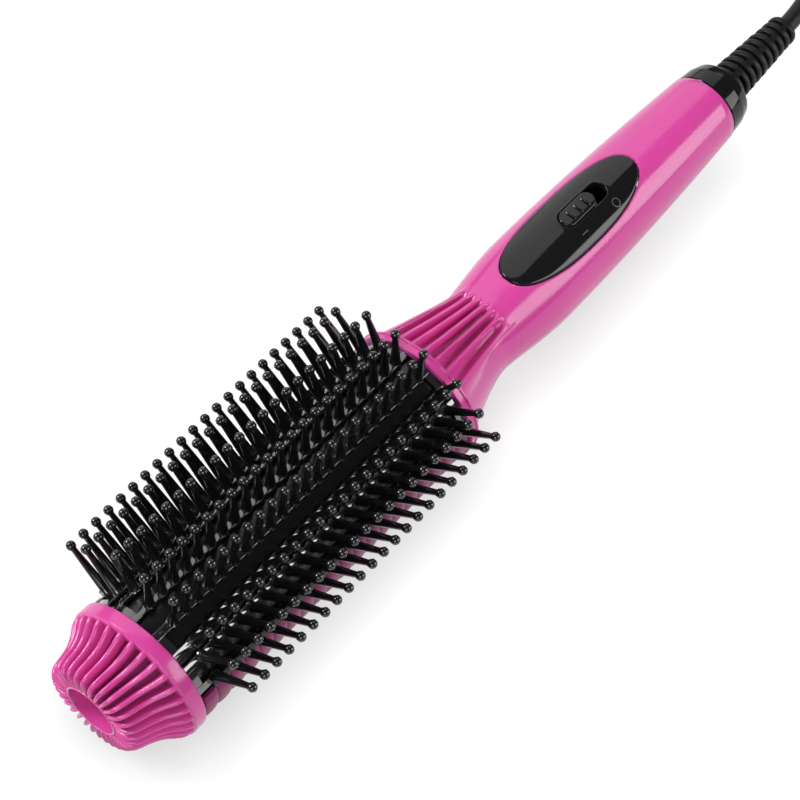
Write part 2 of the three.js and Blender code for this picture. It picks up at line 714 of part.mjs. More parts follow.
function cordTube(points, count) {
  const path = cordLine(points);
  const radius = cordDiameter / 2;
  const section = new THREE.Shape(steps(7, 0, 7).map((k) =>
    new THREE.Vector2(radius * Math.cos(k * Math.PI / 4), radius * Math.sin(k * Math.PI / 4))));
  return solid(new THREE.ExtrudeGeometry(section, { extrudePath: path, steps: count, bevelEnabled: false }));
}

// The centreline of the coil: in along the lower layer, up in the half turn where the spiral
// turns back, and out along the upper layer. Turns run clockwise seen from above.
function coilLine() {
  const half = coilTurns + 0.25;
  const soft = 0.06;
  const count = Math.round(48 * half);
  const inner = coilOuterRadius - coilPitch * (Math.sqrt(half ** 2 + soft ** 2) - soft);
  const points = steps(count, -half, half).map((u) => {
    const r = inner + coilPitch * (Math.sqrt(u ** 2 + soft ** 2) - soft);
    const t = THREE.MathUtils.clamp(u / 0.5 + 0.5, 0, 1);
    const angle = THREE.MathUtils.degToRad(coilStart) - (u + half) * 2 * Math.PI;
    return new THREE.Vector3(coilCentre[0] + r * Math.cos(angle), coilCentre[1] + r * Math.sin(angle),
      layerHeight + coilLift * t * t * (3 - 2 * t));
  });
  return [onward(points[0], points[1], points[2], cordDiameter), ...points,
    onward(points.at(-1), points.at(-2), points.at(-3), cordDiameter)];
}

// The point that lies straight on past a line's end, whose last points are given from the end back.
function onward(end, next, after, distance) {
  const way = end.clone().sub(next).multiplyScalar(3).sub(next).add(after);
  return way.setLength(distance).add(end);
}

// A tube of six sides from point to point of a line.
function ringTube(line, sides = 6) {
  const up = new THREE.Vector3(0, 0, 1);
  const points = line.flatMap((p, i) => {
    const ahead = line[Math.min(i + 1, line.length - 1)].clone().sub(line[Math.max(i - 1, 0)]).normalize();
    const across = new THREE.Vector3().crossVectors(up, ahead).normalize();
    const rise = new THREE.Vector3().crossVectors(ahead, across);
    return Array.from({ length: sides }, (_, k) => {
      const angle = k * 2 * Math.PI / sides;
      return p.clone().addScaledVector(across, cordDiameter / 2 * Math.cos(angle))
        .addScaledVector(rise, cordDiameter / 2 * Math.sin(angle));
    });
  });
  const faces = [];
  for (let i = 0; i < line.length - 1; i++) {
    for (let k = 0; k < sides; k++) {
      const [a, b] = [i * sides + k, i * sides + (k + 1) % sides];
      faces.push(a, b, b + sides, a, b + sides, a + sides);
    }
  }
  const last = (line.length - 1) * sides;
  for (let k = 1; k < sides - 1; k++) faces.push(0, k + 1, k, last, last + k, last + k + 1);
  const geometry = new THREE.BufferGeometry();
  geometry.setAttribute('position', new THREE.Float32BufferAttribute(points.flatMap((p) => p.toArray()), 3));
  geometry.setIndex(faces);
  return solid(geometry);
}

const coil = coilLine();

// A cord's stations are from the strain relief's end.
const behindRelief = (points) => points.map(([x, y, z]) => [reliefEnd + x, y, z]);

// From the strain relief down to the table, and on to the coil's lower layer.
const cordPoints = [...behindRelief([
  [gap, 0, axisHeight], [7.7, 0.4, 23.6], [16.7, 1.7, 22.9], [25.7, 3.3, 20.9], [35.7, 6.1, 17.1],
  [45.7, 10.4, 12.4], [55.7, 16.4, 8], [65.7, 23.8, 5.3], [75.7, 31.7, 4.3], [85.7, 39, layerHeight],
  [95.7, 45, layerHeight], [105.7, 48.6, layerHeight],
]), onward(coil[0], coil[1], coil[1], gap).toArray()];

// The least distance between turns, and the length of a line.
function leastGap(line) {
  let least = Infinity;
  const near = Math.ceil(coilPitch * 4 / line[1].distanceTo(line[2]));
  line.forEach((p, i) => {
    for (let j = i + near; j < line.length - 1; j++) {
      const [a, b] = [line[j], line[j + 1]];
      const ab = b.clone().sub(a);
      const t = THREE.MathUtils.clamp(p.clone().sub(a).dot(ab) / ab.lengthSq(), 0, 1);
      least = Math.min(least, p.distanceTo(a.clone().addScaledVector(ab, t)));
    }
  });
  return least - cordDiameter;
}

const lengthOf = (line) => line.slice(1).reduce((sum, p, i) => sum + p.distanceTo(line[i]), 0);

// A band round the coil's bundle of turns, at an angle about the coil's centre.
function cordTie(degrees) {
  const angle = THREE.MathUtils.degToRad(degrees);
  const near = coil.filter((p) => {
    const a = Math.atan2(p.y - coilCentre[1], p.x - coilCentre[0]);
    return Math.abs(Math.sin((a - angle) / 2)) < 0.12;
  }).map((p) => Math.hypot(p.x - coilCentre[0], p.y - coilCentre[1]));
  const [r0, r1] = [Math.min(...near) - cordDiameter / 2 - gap, Math.max(...near) + cordDiameter / 2 + gap];
  const [z0, z1] = [tieThickness, coilTop + gap];
  const box = block(r0 - tieThickness, r1 + tieThickness, -tieWidth / 2, tieWidth / 2, 0, z1 + tieThickness);
  return cut(box, block(r0, r1, -tieWidth, tieWidth, z0, z1))
    .rotate([0, 0, degrees]).translate([...coilCentre, 0]);
}

// The plug lies on the tie, across the coil. Its own X axis runs from the cord to the pins' tips.
const plugMiddle = coilTop + gap + tieThickness + gap + plugThickness / 2;
const plugAt = [reliefEnd + 119.7, 18.4, plugMiddle];

function placePlug(manifold) {
  return manifold.rotate([0, 0, plugTurn]).translate(plugAt);
}

function plugBody() {
  const half = plugWidth / 2;
  const [start, end] = [plugNeckLength, plugNeckLength + plugLength];
  const outline = new THREE.Shape();
  outline.moveTo(end, -half + 2);
  outline.lineTo(end, half - 2);
  outline.lineTo(end - 2, half);
  outline.lineTo(end - plugLength * 0.45, half);
  outline.quadraticCurveTo(start + 2, half, start, plugNeckRadius + 1);
  outline.lineTo(start, -plugNeckRadius - 1);
  outline.quadraticCurveTo(start + 2, -half, end - plugLength * 0.45, -half);
  outline.lineTo(end - 2, -half);
  outline.lineTo(end, -half + 2);
  const body = raised(outline, -plugThickness / 2, plugThickness / 2, 5);
  const neck = turnedSolid([[0, plugNeckRadius], [start + 2, plugNeckRadius + 0.6]], 12);
  const holes = plugPinPlaces.map((y) =>
    turnedSolid([[end - plugPinDepth, plugPinRadius + gap], [end + 1, plugPinRadius + gap]], 12)
      .translate([0, y, 0]));
  return placePlug(cut(join(body, neck), ...holes));
}

const plugPinPlaces = [plugPinSpacing / 2, -plugPinSpacing / 2];

function plugPin(y) {
  const start = plugNeckLength + plugLength - plugPinDepth + gap;
  const end = plugNeckLength + plugLength + plugPinLength;
  const profile = [[start, plugPinRadius], [end - 0.8, plugPinRadius], [end, plugPinRadius - 0.8]];
  return placePlug(turnedSolid(profile, 12).translate([0, y, 0]));
}

// From the end of the coil's upper layer, round and up over it, to the plug.
const tailPoints = [onward(coil.at(-1), coil.at(-2), coil.at(-2), gap).toArray(), ...behindRelief([
  [84.6, -33.3, 11.6], [80.2, -27.6, 12.4], [76.6, -21.6, 13.4], [74.1, -15.1, 14.7], [72.8, -8.3, 16.1],
  [73, -0.3, 17.5], [75.3, 7, 18.3], [79.4, 13.3, 18.8], [85, 18.5, 19.2], [91.7, 22, 19.8],
  [99.1, 23.6, 20.6], [106.6, 23.3, 21.5], [113.4, 21.2, 22.2], [119.4, 18.5, plugMiddle],
])];

// The scene graph. The comb's own pieces hang in a group whose X axis is the comb's axis.
const model = new THREE.Group();
model.position.x = -reliefEnd / 2;
const comb = new THREE.Group();
comb.position.z = axisHeight;
model.add(comb);

function add(parent, name, manifold, material) {
  const mesh = new THREE.Mesh(geometryOf(manifold), material);
  mesh.name = name;
  parent.add(mesh);
}

add(comb, 'nose_cap', noseCap(), pink);
add(comb, 'nose_screw', screw(0, noseTubeDepth - noseFloor - gap - screwHeadHeight, noseLength, 'x'), steel);
add(comb, 'front_collar', frontCollar(), heatproof);
add(comb, 'barrel', barrel(), glossBlack);
add(comb, 'bristle_bar_left_inner', bristleBar(rows.slice(0, 2), 1), pinBlack);
add(comb, 'bristle_bar_left_outer', bristleBar(rows.slice(2, 4), 1), pinBlack);
add(comb, 'bristle_bar_right_inner', bristleBar(rows.slice(0, 2), -1), pinBlack);
add(comb, 'bristle_bar_right_outer', bristleBar(rows.slice(2, 4), -1), pinBlack);
add(comb, 'back_shell', backShell(), pink);
add(comb, 'ptc_heater', heater(), heatproof);
add(comb, 'heater_insulation', insulation(), film);
add(comb, 'heat_spreader_upper', heatSpreader(true), aluminium);
add(comb, 'heat_spreader_lower', heatSpreader(false), aluminium);
add(comb, 'thermal_fuse', thermalFuse(), steel);
add(comb, 'rear_collar', rearCollar(), heatproof);
add(comb, 'heater_lead_live', heaterLead(1), rubberBlack);
add(comb, 'heater_lead_neutral', heaterLead(-1), rubberBlack);
add(comb, 'handle_top_shell', topShell(), pink);
add(comb, 'handle_bottom_shell', bottomShell(), pink);
add(comb, 'handle_screw_front', screw(boss.front, screwHeadBottom, screwHeadBottom + screwLength), steel);
add(comb, 'handle_screw_rear', screw(boss.rear, screwHeadBottom, screwHeadBottom + screwLength), steel);
add(comb, 'switch_panel', switchPanel(), glossBlack);
add(comb, 'switch_knob', switchKnob(), glossBlack);
add(comb, 'switch_slider', switchSlider(), heatproof);
add(comb, 'slide_switch_body', switchBody(), heatproof);
add(comb, 'circuit_board', circuitBoard(), board);
add(comb, 'supply_lead_live', supplyLead(1), rubberBlack);
add(comb, 'supply_lead_neutral', supplyLead(-1), rubberBlack);
add(comb, 'contact_carrier', contactCarrier(), heatproof);
add(comb, 'contact_spring_live', contactSpring(1), brass);
add(comb, 'contact_spring_neutral', contactSpring(-1), brass);
add(comb, 'slip_ring_disc', slipRing(), brass);
add(comb, 'end_cap', endCap(), glossBlack);
add(comb, 'swivel_bush', swivelBush(), heatproof);
add(comb, 'strain_relief', strainRelief(), rubberBlack);
add(model, 'power_cord', cordTube(cordPoints, 14), rubberBlack);
add(model, 'cord_coil', ringTube(coil), rubberBlack);
add(model, 'cord_tail', cordTube(tailPoints, 14), rubberBlack);
add(model, 'cord_tie_left', cordTie(tieAngles.left), rubberBlack);
add(model, 'cord_tie_right', cordTie(tieAngles.right), rubberBlack);
add(model, 'plug_body', plugBody(), rubberBlack);
add(model, 'plug_pin_1', plugPin(plugPinPlaces[0]), steel);
add(model, 'plug_pin_2', plugPin(plugPinPlaces[1]), steel);

const lengths = [cordLine(cordPoints).getLength(), lengthOf(coil), cordLine(tailPoints).getLength()];
console.log('cord lengths', lengths.map((l) => l.toFixed(1)).join(' '),
  'in all', lengths.reduce((a, b) => a + b).toFixed(1), 'least gap', leastGap(coil).toFixed(2));

export default model;
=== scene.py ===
"""A heated hair straightening comb: finned nose, pins on a black barrel, fluted neck, switch and cord."""

import json
import math

import bmesh
import bpy
from bpy.props import FloatProperty, FloatVectorProperty, IntProperty, PointerProperty
from bpy.types import Operator, Panel, PropertyGroup
from mathutils import Matrix, Vector


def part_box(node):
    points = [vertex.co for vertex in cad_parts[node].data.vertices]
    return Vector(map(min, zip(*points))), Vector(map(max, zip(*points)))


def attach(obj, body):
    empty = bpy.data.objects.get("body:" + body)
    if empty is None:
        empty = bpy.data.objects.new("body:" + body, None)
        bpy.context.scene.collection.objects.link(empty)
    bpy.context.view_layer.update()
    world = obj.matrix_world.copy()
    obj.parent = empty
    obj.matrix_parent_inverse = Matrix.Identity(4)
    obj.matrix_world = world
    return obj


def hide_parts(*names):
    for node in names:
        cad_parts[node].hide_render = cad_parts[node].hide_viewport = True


bl_info = {
    "name": "Hair Straightening Comb",
    "version": (1, 0, 0),
    "blender": (4, 5, 0),
    "location": "View3D > Sidebar > Comb",
    "description": "Builds a heated hair straightening comb, its finishes and its studio",
    "category": "Add Mesh",
}

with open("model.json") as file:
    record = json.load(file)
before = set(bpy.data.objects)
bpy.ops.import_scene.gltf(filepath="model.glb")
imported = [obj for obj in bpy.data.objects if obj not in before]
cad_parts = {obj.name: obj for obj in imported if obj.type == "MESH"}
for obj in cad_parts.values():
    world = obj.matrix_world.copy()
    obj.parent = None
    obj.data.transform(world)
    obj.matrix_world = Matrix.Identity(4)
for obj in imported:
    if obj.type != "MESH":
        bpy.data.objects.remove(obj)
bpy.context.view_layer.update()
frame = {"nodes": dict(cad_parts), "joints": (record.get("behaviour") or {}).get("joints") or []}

MM = 0.001
NOSE_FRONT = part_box("nose_cap")[0][0]
AXIS_HEIGHT = (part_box("barrel")[0][2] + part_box("barrel")[1][2]) / 2

# Pieces are drawn about the comb's own axis, from the nose's front, and then put in their place.
PLACE = Matrix.Translation((NOSE_FRONT, 0, AXIS_HEIGHT))


def span(node):
    """A node's first and last station along the comb."""
    low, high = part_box(node)
    return low[0] - NOSE_FRONT, high[0] - NOSE_FRONT


def width(node):
    """A node's size across the comb."""
    low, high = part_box(node)
    return high[1] - low[1]


RIM_RADIUS = width("nose_cap") / 2
NOSE_LENGTH = span("nose_cap")[1]
HEAD_END = span("handle_top_shell")[0]
HANDLE_END = span("handle_top_shell")[1]
PANEL_START, PANEL_END = span("switch_panel")
PANEL_WIDTH = width("switch_panel")
RELIEF_START, RELIEF_END = span("strain_relief")


# Sizes and colours that a user would change.
def length(name, description, millimetres):
    return FloatProperty(name=name, description=description, default=millimetres * MM, min=0, unit="LENGTH")


def tint(name, description, colour):
    return FloatVectorProperty(
        name=name, description=description, default=colour, size=3, min=0, max=1, subtype="COLOR"
    )


def count(name, description, number):
    return IntProperty(name=name, description=description, default=number, min=1)


class CombNose(PropertyGroup):
    fins: count("Fins", "Number of fins round the nose", 32)
    fin_depth: length("Fin depth", "How deep a fin stands", 4.2)
    rim_width: length("Rim width", "Width of the smooth rim", 5.2)
    hole_radius: length("Hole radius", "Radius of the recess in the nose", 8.7)
    hole_depth: length("Hole depth", "Depth of the recess in the nose", 13.5)
    lean: length("Lean", "How far the front of the nose stands to the left", 1.6)


class CombPins(PropertyGroup):
    number: count("Pins in a row", "Number of pins in one row", 22)
    pitch: length("Pitch", "Distance between pins in a row", 5.18)
    first: length("First pin", "From the nose rim to the first pin", 7.3)
    foot_radius: length("Foot radius", "Radius of a pin above its foot", 1.62)
    neck_radius: length("Neck radius", "Radius of a pin below its ball", 0.95)
    ball_radius: length("Ball radius", "Radius of the ball on a pin", 1.6)
    strip_width: length("Strip width", "Width of the strip that a row stands on", 2.7)
    strip_height: length("Strip height", "Height of the strip above the barrel", 1.3)


class CombHandle(PropertyGroup):
    flange_width: length("Flange width", "Width of the band behind the pins", 3.4)
    neck_radius: length("Neck radius", "Least radius of the neck", 14.2)
    grip_radius: length("Grip radius", "Largest radius of the grip", 16.85)
    tail_radius: length("Tail radius", "Radius at the end of the handle", 13.35)
    wall: length("Wall", "Thickness of the shells", 2.2)
    flute_depth: length("Flute depth", "How far the flutes are cut below the plain neck", 1.0)
    crest_width: length("Crest width", "Width of the crests between the flutes", 0.6)
    flute_end: length("Flute end", "From the flange to the end of the flutes", 35.2)


class CombSwitch(PropertyGroup):
    proud: length("Panel height", "How far the panel stands above the handle", 0.25)
    clearance: length("Clearance", "Gap round the panel and the knob", 0.3)
    knob_height: length("Knob height", "How far the knob stands above the panel", 0.9)
    mark_width: length("Mark width", "Line width of the two switch marks", 0.32)


class CombCord(PropertyGroup):
    diameter: length("Diameter", "Diameter of the cord", 6.6)
    relief_ribs: count("Relief ribs", "Number of ribs on the strain relief", 8)


class CombColours(PropertyGroup):
    pink: tint("Pink", "Colour of the shells and the nose", (0.655, 0.062, 0.322))
    black: tint("Black", "Colour of the barrel, panel and cap", (0.006, 0.006, 0.007))
    pins: tint("Pins", "Colour of the pins", (0.007, 0.007, 0.008))
    rubber: tint("Rubber", "Colour of the cord and the relief", (0.006, 0.006, 0.0065))
    floor: tint("Floor", "Colour of the floor", (0.2, 0.2, 0.2))


GROUPS = {
    "comb_nose": CombNose,
    "comb_pins": CombPins,
    "comb_handle": CombHandle,
    "comb_switch": CombSwitch,
    "comb_cord": CombCord,
    "comb_colours": CombColours,
}


# Node trees.
class Nodes:
    """A node tree, with one call that adds a node and fills its sockets."""

    def __init__(self, tree):
        self.tree = tree

    def add(self, kind, inputs=None, **settings):
        """A new node's outputs. Each of its inputs takes a value or another node's output."""
        node = self.tree.nodes.new(kind)
        for name, value in settings.items():
            setattr(node, name, value)
        for socket, value in (inputs or {}).items():
            if isinstance(value, bpy.types.NodeSocket):
                self.tree.links.new(value, node.inputs[socket])
            else:
                node.inputs[socket].default_value = value
        return node.outputs

    def math(self, operation, first, second):
        return self.add("ShaderNodeMath", {0: first, 1: second}, operation=operation)[0]


# The sockets of a colour mix go by number, because its other kinds of mix use the same names.
MIX_FACTOR, MIX_FIRST, MIX_SECOND, MIX_RESULT = 0, 6, 7, 2


class Shader(Nodes):
    """A material's node tree, with short calls for its textures."""

    def __init__(self, name):
        self.material = bpy.data.materials.new(name)
        self.material.use_nodes = True
        super().__init__(self.material.node_tree)
        self.tree.nodes.clear()
        self.place = self.add("ShaderNodeTexCoord")["Object"]

    def noise(self, scale, detail=3.0, stretch=None):
        place = self.place
        if stretch:
            place = self.add("ShaderNodeMapping", {"Vector": place, "Scale": stretch})["Vector"]
        return self.add("ShaderNodeTexNoise", {"Vector": place, "Scale": scale, "Detail": detail})["Fac"]

    def between(self, factor, low, high, start=0.0, end=1.0):
        """A factor that runs from start to end, brought to run from low to high."""
        return self.add("ShaderNodeMapRange", {
            "Value": factor, "From Min": start, "From Max": end, "To Min": low, "To Max": high,
        })["Result"]

    def relief(self, height, distance, strength=1.0):
        inputs = {"Height": height, "Distance": distance, "Strength": strength}
        return self.add("ShaderNodeBump", inputs)["Normal"]

    def surface(self, mottle, colours, wear, roughness, **sockets):
        """The material: its two colours follow one texture and its roughness follows another."""
        first, second = [(*colour, 1.0) for colour in colours]
        mix = self.add("ShaderNodeMix", {
            MIX_FACTOR: mottle, MIX_FIRST: first, MIX_SECOND: second,
        }, data_type="RGBA")
        inputs = {"Base Color": mix[MIX_RESULT], "Roughness": self.between(wear, *roughness)}
        inputs.update({name.replace("_", " "): value for name, value in sockets.items()})
        return self.finished(self.add("ShaderNodeBsdfPrincipled", inputs)["BSDF"])

    def finished(self, surface):
        self.add("ShaderNodeOutputMaterial", {"Surface": surface})
        return self.material


def shades(name, darker, lighter):
    """Two shades of one of the comb's colours."""
    colour = getattr(bpy.context.scene.comb_colours, name)
    return [[channel * factor for channel in colour] for factor in (darker, lighter)]


def pink_plastic():
    """Glossy moulded plastic: even colour, faint clouding, and a very fine orange peel."""
    shader = Shader("pink plastic")
    clouds = shader.noise(45, 2)
    scuffs = shader.noise(160, 4, (1, 3, 3))
    peel = shader.noise(700, 2)
    return shader.surface(
        clouds, shades("pink", 0.94, 1.05), scuffs, (0.13, 0.21),
        IOR=1.5, Normal=shader.relief(peel, 0.01 * MM, 0.5),
    )


def painted_shade_back_pink():
    """The back shell's plastic: less polished, and darkened far below the shells' pink as painted shade
    under the pins.
    """
    shader = Shader("back pink")
    clouds = shader.noise(60, 2)
    scuffs = shader.noise(300, 3)
    peel = shader.noise(700, 2)
    return shader.surface(
        clouds, shades("pink", 0.27, 0.35), scuffs, (0.34, 0.46),
        Specular_IOR_Level=0.25, Normal=shader.relief(peel, 0.01 * MM, 0.5),
    )


def painted_shade_pink():
    """A darker copy of the pink with little gloss: painted shade for the wall deep between the nose's fins.
    """
    shader = Shader("shaded pink")
    clouds = shader.noise(60, 2)
    scuffs = shader.noise(300, 3)
    return shader.surface(
        clouds, shades("pink", 0.28, 0.36), scuffs, (0.5, 0.6), Specular_IOR_Level=0.08,
    )


def barrel_black():
    """The heated tube's dark coating, with fine streaks along the comb."""
    shader = Shader("barrel black")
    streaks = shader.noise(700, 3, (0.03, 1, 1))
    return shader.surface(
        streaks, shades("black", 0.6, 1.8), streaks, (0.1, 0.28),
        Specular_IOR_Level=0.5, Normal=shader.relief(streaks, 0.04 * MM, 0.6),
    )


def gloss_black(name="gloss black", specular=0.42):
    """Polished black plastic that mirrors the lamps, with a trace of dust."""
    shader = Shader(name)
    dust = shader.noise(900, 6)
    smears = shader.noise(60, 3, (0.4, 1, 1))
    waves = shader.noise(500, 2)
    return shader.surface(
        dust, shades("black", 0.8, 1.4), smears, (0.05, 0.11),
        Specular_IOR_Level=specular, IOR=1.5, Normal=shader.relief(waves, 0.006 * MM, 0.5),
    )


def pin_black():
    """The pins' smooth black nylon, with more polish on the strips and on the balls."""
    shader = Shader("pin black")
    flow = shader.noise(220, 3)
    grain = shader.noise(1200, 2)
    axis = (0, 0, AXIS_HEIGHT)
    offset = shader.add("ShaderNodeVectorMath", {0: shader.place, 1: axis}, operation="SUBTRACT")[0]
    across = shader.add("ShaderNodeVectorMath", {0: offset, 1: (0, 1, 1)}, operation="MULTIPLY")[0]
    distance = shader.add("ShaderNodeVectorMath", {0: across}, operation="LENGTH")["Value"]
    # The coat sets in where the balls begin, and ends just above the strips.
    balls = shader.between(distance, 0.0, 0.2, 34 * MM, 35.5 * MM)
    strips = shader.between(distance, 0.9, 0.0, 23 * MM, 24 * MM)
    return shader.surface(
        flow, shades("pins", 0.8, 1.3), flow, (0.08, 0.14),
        Specular_IOR_Level=0.3, IOR=1.5, Coat_Weight=shader.math("ADD", balls, strips),
        Coat_Roughness=0.08, Coat_IOR=2.2, Normal=shader.relief(grain, 0.01 * MM, 0.6),
    )


def cord_rubber():
    """Matte flexible jacket with a fine leathery grain."""
    shader = Shader("cord rubber")
    patches = shader.noise(90, 3)
    grain = shader.noise(1500, 4)
    return shader.surface(
        patches, shades("rubber", 0.85, 1.3), patches, (0.38, 0.5),
        Specular_IOR_Level=0.22, IOR=1.5, Normal=shader.relief(grain, 0.03 * MM, 0.7),
    )


def dull_black():
    """Heat-resistant filled plastic inside the comb."""
    shader = Shader("heatproof black")
    speckle = shader.noise(2400, 2)
    colours = ((0.012, 0.012, 0.013), (0.03, 0.03, 0.032))
    return shader.surface(
        speckle, colours, speckle, (0.5, 0.7), Normal=shader.relief(speckle, 0.02 * MM),
    )


def metal(name, dark, light, roughness, stretch):
    """A drawn or turned metal with fine lines along its stretch."""
    shader = Shader(name)
    lines = shader.noise(900, 4, stretch)
    return shader.surface(
        lines, (dark, light), lines, (roughness - 0.06, roughness + 0.08),
        Metallic=1.0, Normal=shader.relief(lines, 0.01 * MM, 0.6),
    )


def amber_film():
    """The heater's insulating film, wound with slight wrinkles."""
    shader = Shader("amber film")
    wrinkles = shader.noise(240, 4, (1, 4, 4))
    colours = ((0.36, 0.13, 0.02), (0.56, 0.24, 0.05))
    return shader.surface(
        wrinkles, colours, wrinkles, (0.22, 0.4), Normal=shader.relief(wrinkles, 0.1 * MM),
    )


def board_green():
    """The circuit board's lacquered laminate, with a faint weave."""
    shader = Shader("board green")
    weave = shader.add("ShaderNodeTexChecker", {"Vector": shader.place, "Scale": 1400})["Fac"]
    colours = ((0.01, 0.1, 0.035), (0.014, 0.13, 0.045))
    return shader.surface(weave, colours, shader.noise(120), (0.3, 0.42))


def mark_grey():
    """The pad-printed marks beside the switch."""
    shader = Shader("mark grey")
    ink = shader.noise(3000, 2)
    return shader.surface(ink, ((0.07, 0.07, 0.072), (0.1, 0.1, 0.1)), ink, (0.3, 0.4))


MAKERS = {
    "pink_shell": pink_plastic,
    "back pink": painted_shade_back_pink,
    "shaded pink": painted_shade_pink,
    "barrel black": barrel_black,
    "gloss_black": gloss_black,
    "cap black": lambda: gloss_black("cap black", 0.26),
    "pin_black": pin_black,
    "cord_black": cord_rubber,
    "heatproof_black": dull_black,
    "steel": lambda: metal("steel", (0.5, 0.51, 0.53), (0.62, 0.63, 0.65), 0.28, (1, 6, 6)),
    "aluminium": lambda: metal("aluminium", (0.6, 0.61, 0.63), (0.7, 0.71, 0.73), 0.36, (0.1, 5, 5)),
    "brass": lambda: metal("brass", (0.62, 0.43, 0.15), (0.75, 0.55, 0.22), 0.3, (5, 1, 1)),
    "film": amber_film,
    "board": board_green,
    "mark": mark_grey,
}
finishes = {}


def finish(name):
    """The material of that name, made when it is first asked for."""
    if name not in finishes:
        finishes[name] = MAKERS[name]()
    return finishes[name]


# Meshes.
def added(name, data):
    """A new object in the scene that holds the data."""
    item = bpy.data.objects.new(name, data)
    bpy.context.scene.collection.objects.link(item)
    return item


def new_piece(name, points, faces):
    """A mesh object from points and faces."""
    mesh = bpy.data.meshes.new(name)
    mesh.from_pydata([tuple(p) for p in points], [], faces)
    mesh.validate()
    return added(name, mesh)


def tidy(piece, sharp=40, merge=0.000002):
    """Merges doubles, turns the faces outwards, and smooths all but the sharp edges."""
    bm = bmesh.new()
    bm.from_mesh(piece.data)
    bmesh.ops.remove_doubles(bm, verts=bm.verts, dist=merge)
    bmesh.ops.dissolve_degenerate(bm, edges=bm.edges, dist=merge / 4)
    bmesh.ops.recalc_face_normals(bm, faces=bm.faces)
    bm.to_mesh(piece.data)
    bm.free()
    piece.data.shade_smooth()
    piece.data.set_sharp_from_angle(angle=math.radians(sharp))
    return piece


def settle(piece, slot, body="root", stands_for=(), material=None, place=PLACE):
    """Puts a piece in its place, gives it its finish, and lets it ride on its body."""
    piece.data.transform(place)
    piece.data.materials.clear()
    piece.data.materials.append(finish(material or slot))
    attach(piece, body)
    if stands_for:
        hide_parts(*stands_for)
    return piece


def resting(piece):
    """Flattens a piece's underside where it lies on the floor."""
    for vertex in piece.data.vertices:
        vertex.co.z = max(vertex.co.z, -AXIS_HEIGHT)
    return piece


def joined(name, pieces):
    """One object that holds the meshes of several, which are removed."""
    bm = bmesh.new()
    for piece in pieces:
        bm.from_mesh(piece.data)
    whole = new_piece(name, [], [])
    bm.to_mesh(whole.data)
    bm.free()
    for piece in pieces:
        bpy.data.objects.remove(piece)
    return whole


def cut_by(piece, cutter):
    """The piece less the cutter, which is removed."""
    modifier = piece.modifiers.new("cut", "BOOLEAN")
    modifier.operation = "DIFFERENCE"
    modifier.solver = "MANIFOLD"
    modifier.object = cutter
    bake(piece)
    bpy.data.objects.remove(cutter)
    return piece


def bake(piece):
    """Turns a piece's evaluated shape into its plain mesh and removes its modifiers."""
    graph = bpy.context.evaluated_depsgraph_get()
    mesh = bpy.data.meshes.new_from_object(piece.evaluated_get(graph))
    piece.modifiers.clear()
    piece.data = mesh
    return piece


def rings(loops, caps=True):
    """Points and faces of a skin over closed loops of equal length, with a cap at each end."""
    size = len(loops[0])
    points = [p for loop in loops for p in loop]
    faces = []
    for i in range(len(loops) - 1):
        for k in range(size):
            a, b = i * size + k, i * size + (k + 1) % size
            faces.append((a, b, b + size, a + size))
    if caps:
        faces.append(tuple(range(size))[::-1])
        faces.append(tuple((len(loops) - 1) * size + k for k in range(size)))
    return points, faces


def circle(number):
    """The angles of evenly spaced points round a circle."""
    return [2 * math.pi * k / number for k in range(number)]


def turned(name, profile, segments=96, closed=False):
    """A lathe shape about the comb's axis, from (station, radius) points."""
    loops = [[(x, r * math.sin(t), r * math.cos(t)) for t in circle(segments)] for x, r in profile]
    if closed:
        loops.append(loops[0])
    pointed = profile[0][1] == 0
    return tidy(new_piece(name, *rings(loops, caps=not (closed or pointed))))


def swept(name, profiles, angles, sharp=40):
    """A shell from closed profiles of (station, radius), one for each angle from the top."""
    loops = []
    for profile, angle in zip(profiles, angles):
        loops.append([(x, r * math.sin(angle), r * math.cos(angle)) for x, r in profile])
    return tidy(new_piece(name, *rings(loops)), sharp=sharp)


def softened(corners, steps=4, closed=True):
    """A path with its corners rounded: each corner is (x, y) or (x, y, radius)."""
    path = []
    number = len(corners)
    for i, corner in enumerate(corners):
        here = Vector(corner[:2])
        radius = corner[2] if len(corner) > 2 else 0
        if radius == 0 or (not closed and i in (0, number - 1)):
            path.append(tuple(here))
            continue
        before = (Vector(corners[i - 1][:2]) - here).normalized()
        after = (Vector(corners[(i + 1) % number][:2]) - here).normalized()
        half = before.angle(after) / 2
        reach = radius / math.tan(half)
        centre = here + (before + after).normalized() * (radius / math.sin(half))
        start = here + before * reach - centre
        sweep = (here + after * reach - centre).angle_signed(start)
        for k in range(steps + 1):
            path.append(tuple(centre + Matrix.Rotation(sweep * k / steps, 2) @ start))
    return path


def smooth_line(points, per_stretch):
    """A centripetal Catmull-Rom curve through the points, as a list of points."""
    knots = [Vector(p) for p in points]
    ends = [2 * knots[0] - knots[1], *knots, 2 * knots[-1] - knots[-2]]
    line = []
    for i in range(1, len(ends) - 2):
        stretch = ends[i - 1 : i + 3]
        t = [0.0]
        for a, b in zip(stretch, stretch[1:]):
            t.append(t[-1] + math.sqrt((b - a).length))
        for k in range(per_stretch):
            u = t[1] + (t[2] - t[1]) * k / per_stretch
            blend = stretch
            for apart in (1, 2):
                blend = [a.lerp(b, (u - t[j]) / (t[j + apart] - t[j]))
                         for j, (a, b) in enumerate(zip(blend, blend[1:]))]
            line.append(blend[0].lerp(blend[1], (u - t[1]) / (t[2] - t[1])))
    return [*line, knots[-1]]


def oval(half_long, half_wide, power, number):
    """A rounded oval outline. The higher its power, the squarer it is."""
    outline = []
    for angle in circle(number):
        c, s = math.cos(angle), math.sin(angle)
        outline.append((
            half_long * math.copysign(abs(c) ** (2 / power), c),
            half_wide * math.copysign(abs(s) ** (2 / power), s),
        ))
    return outline


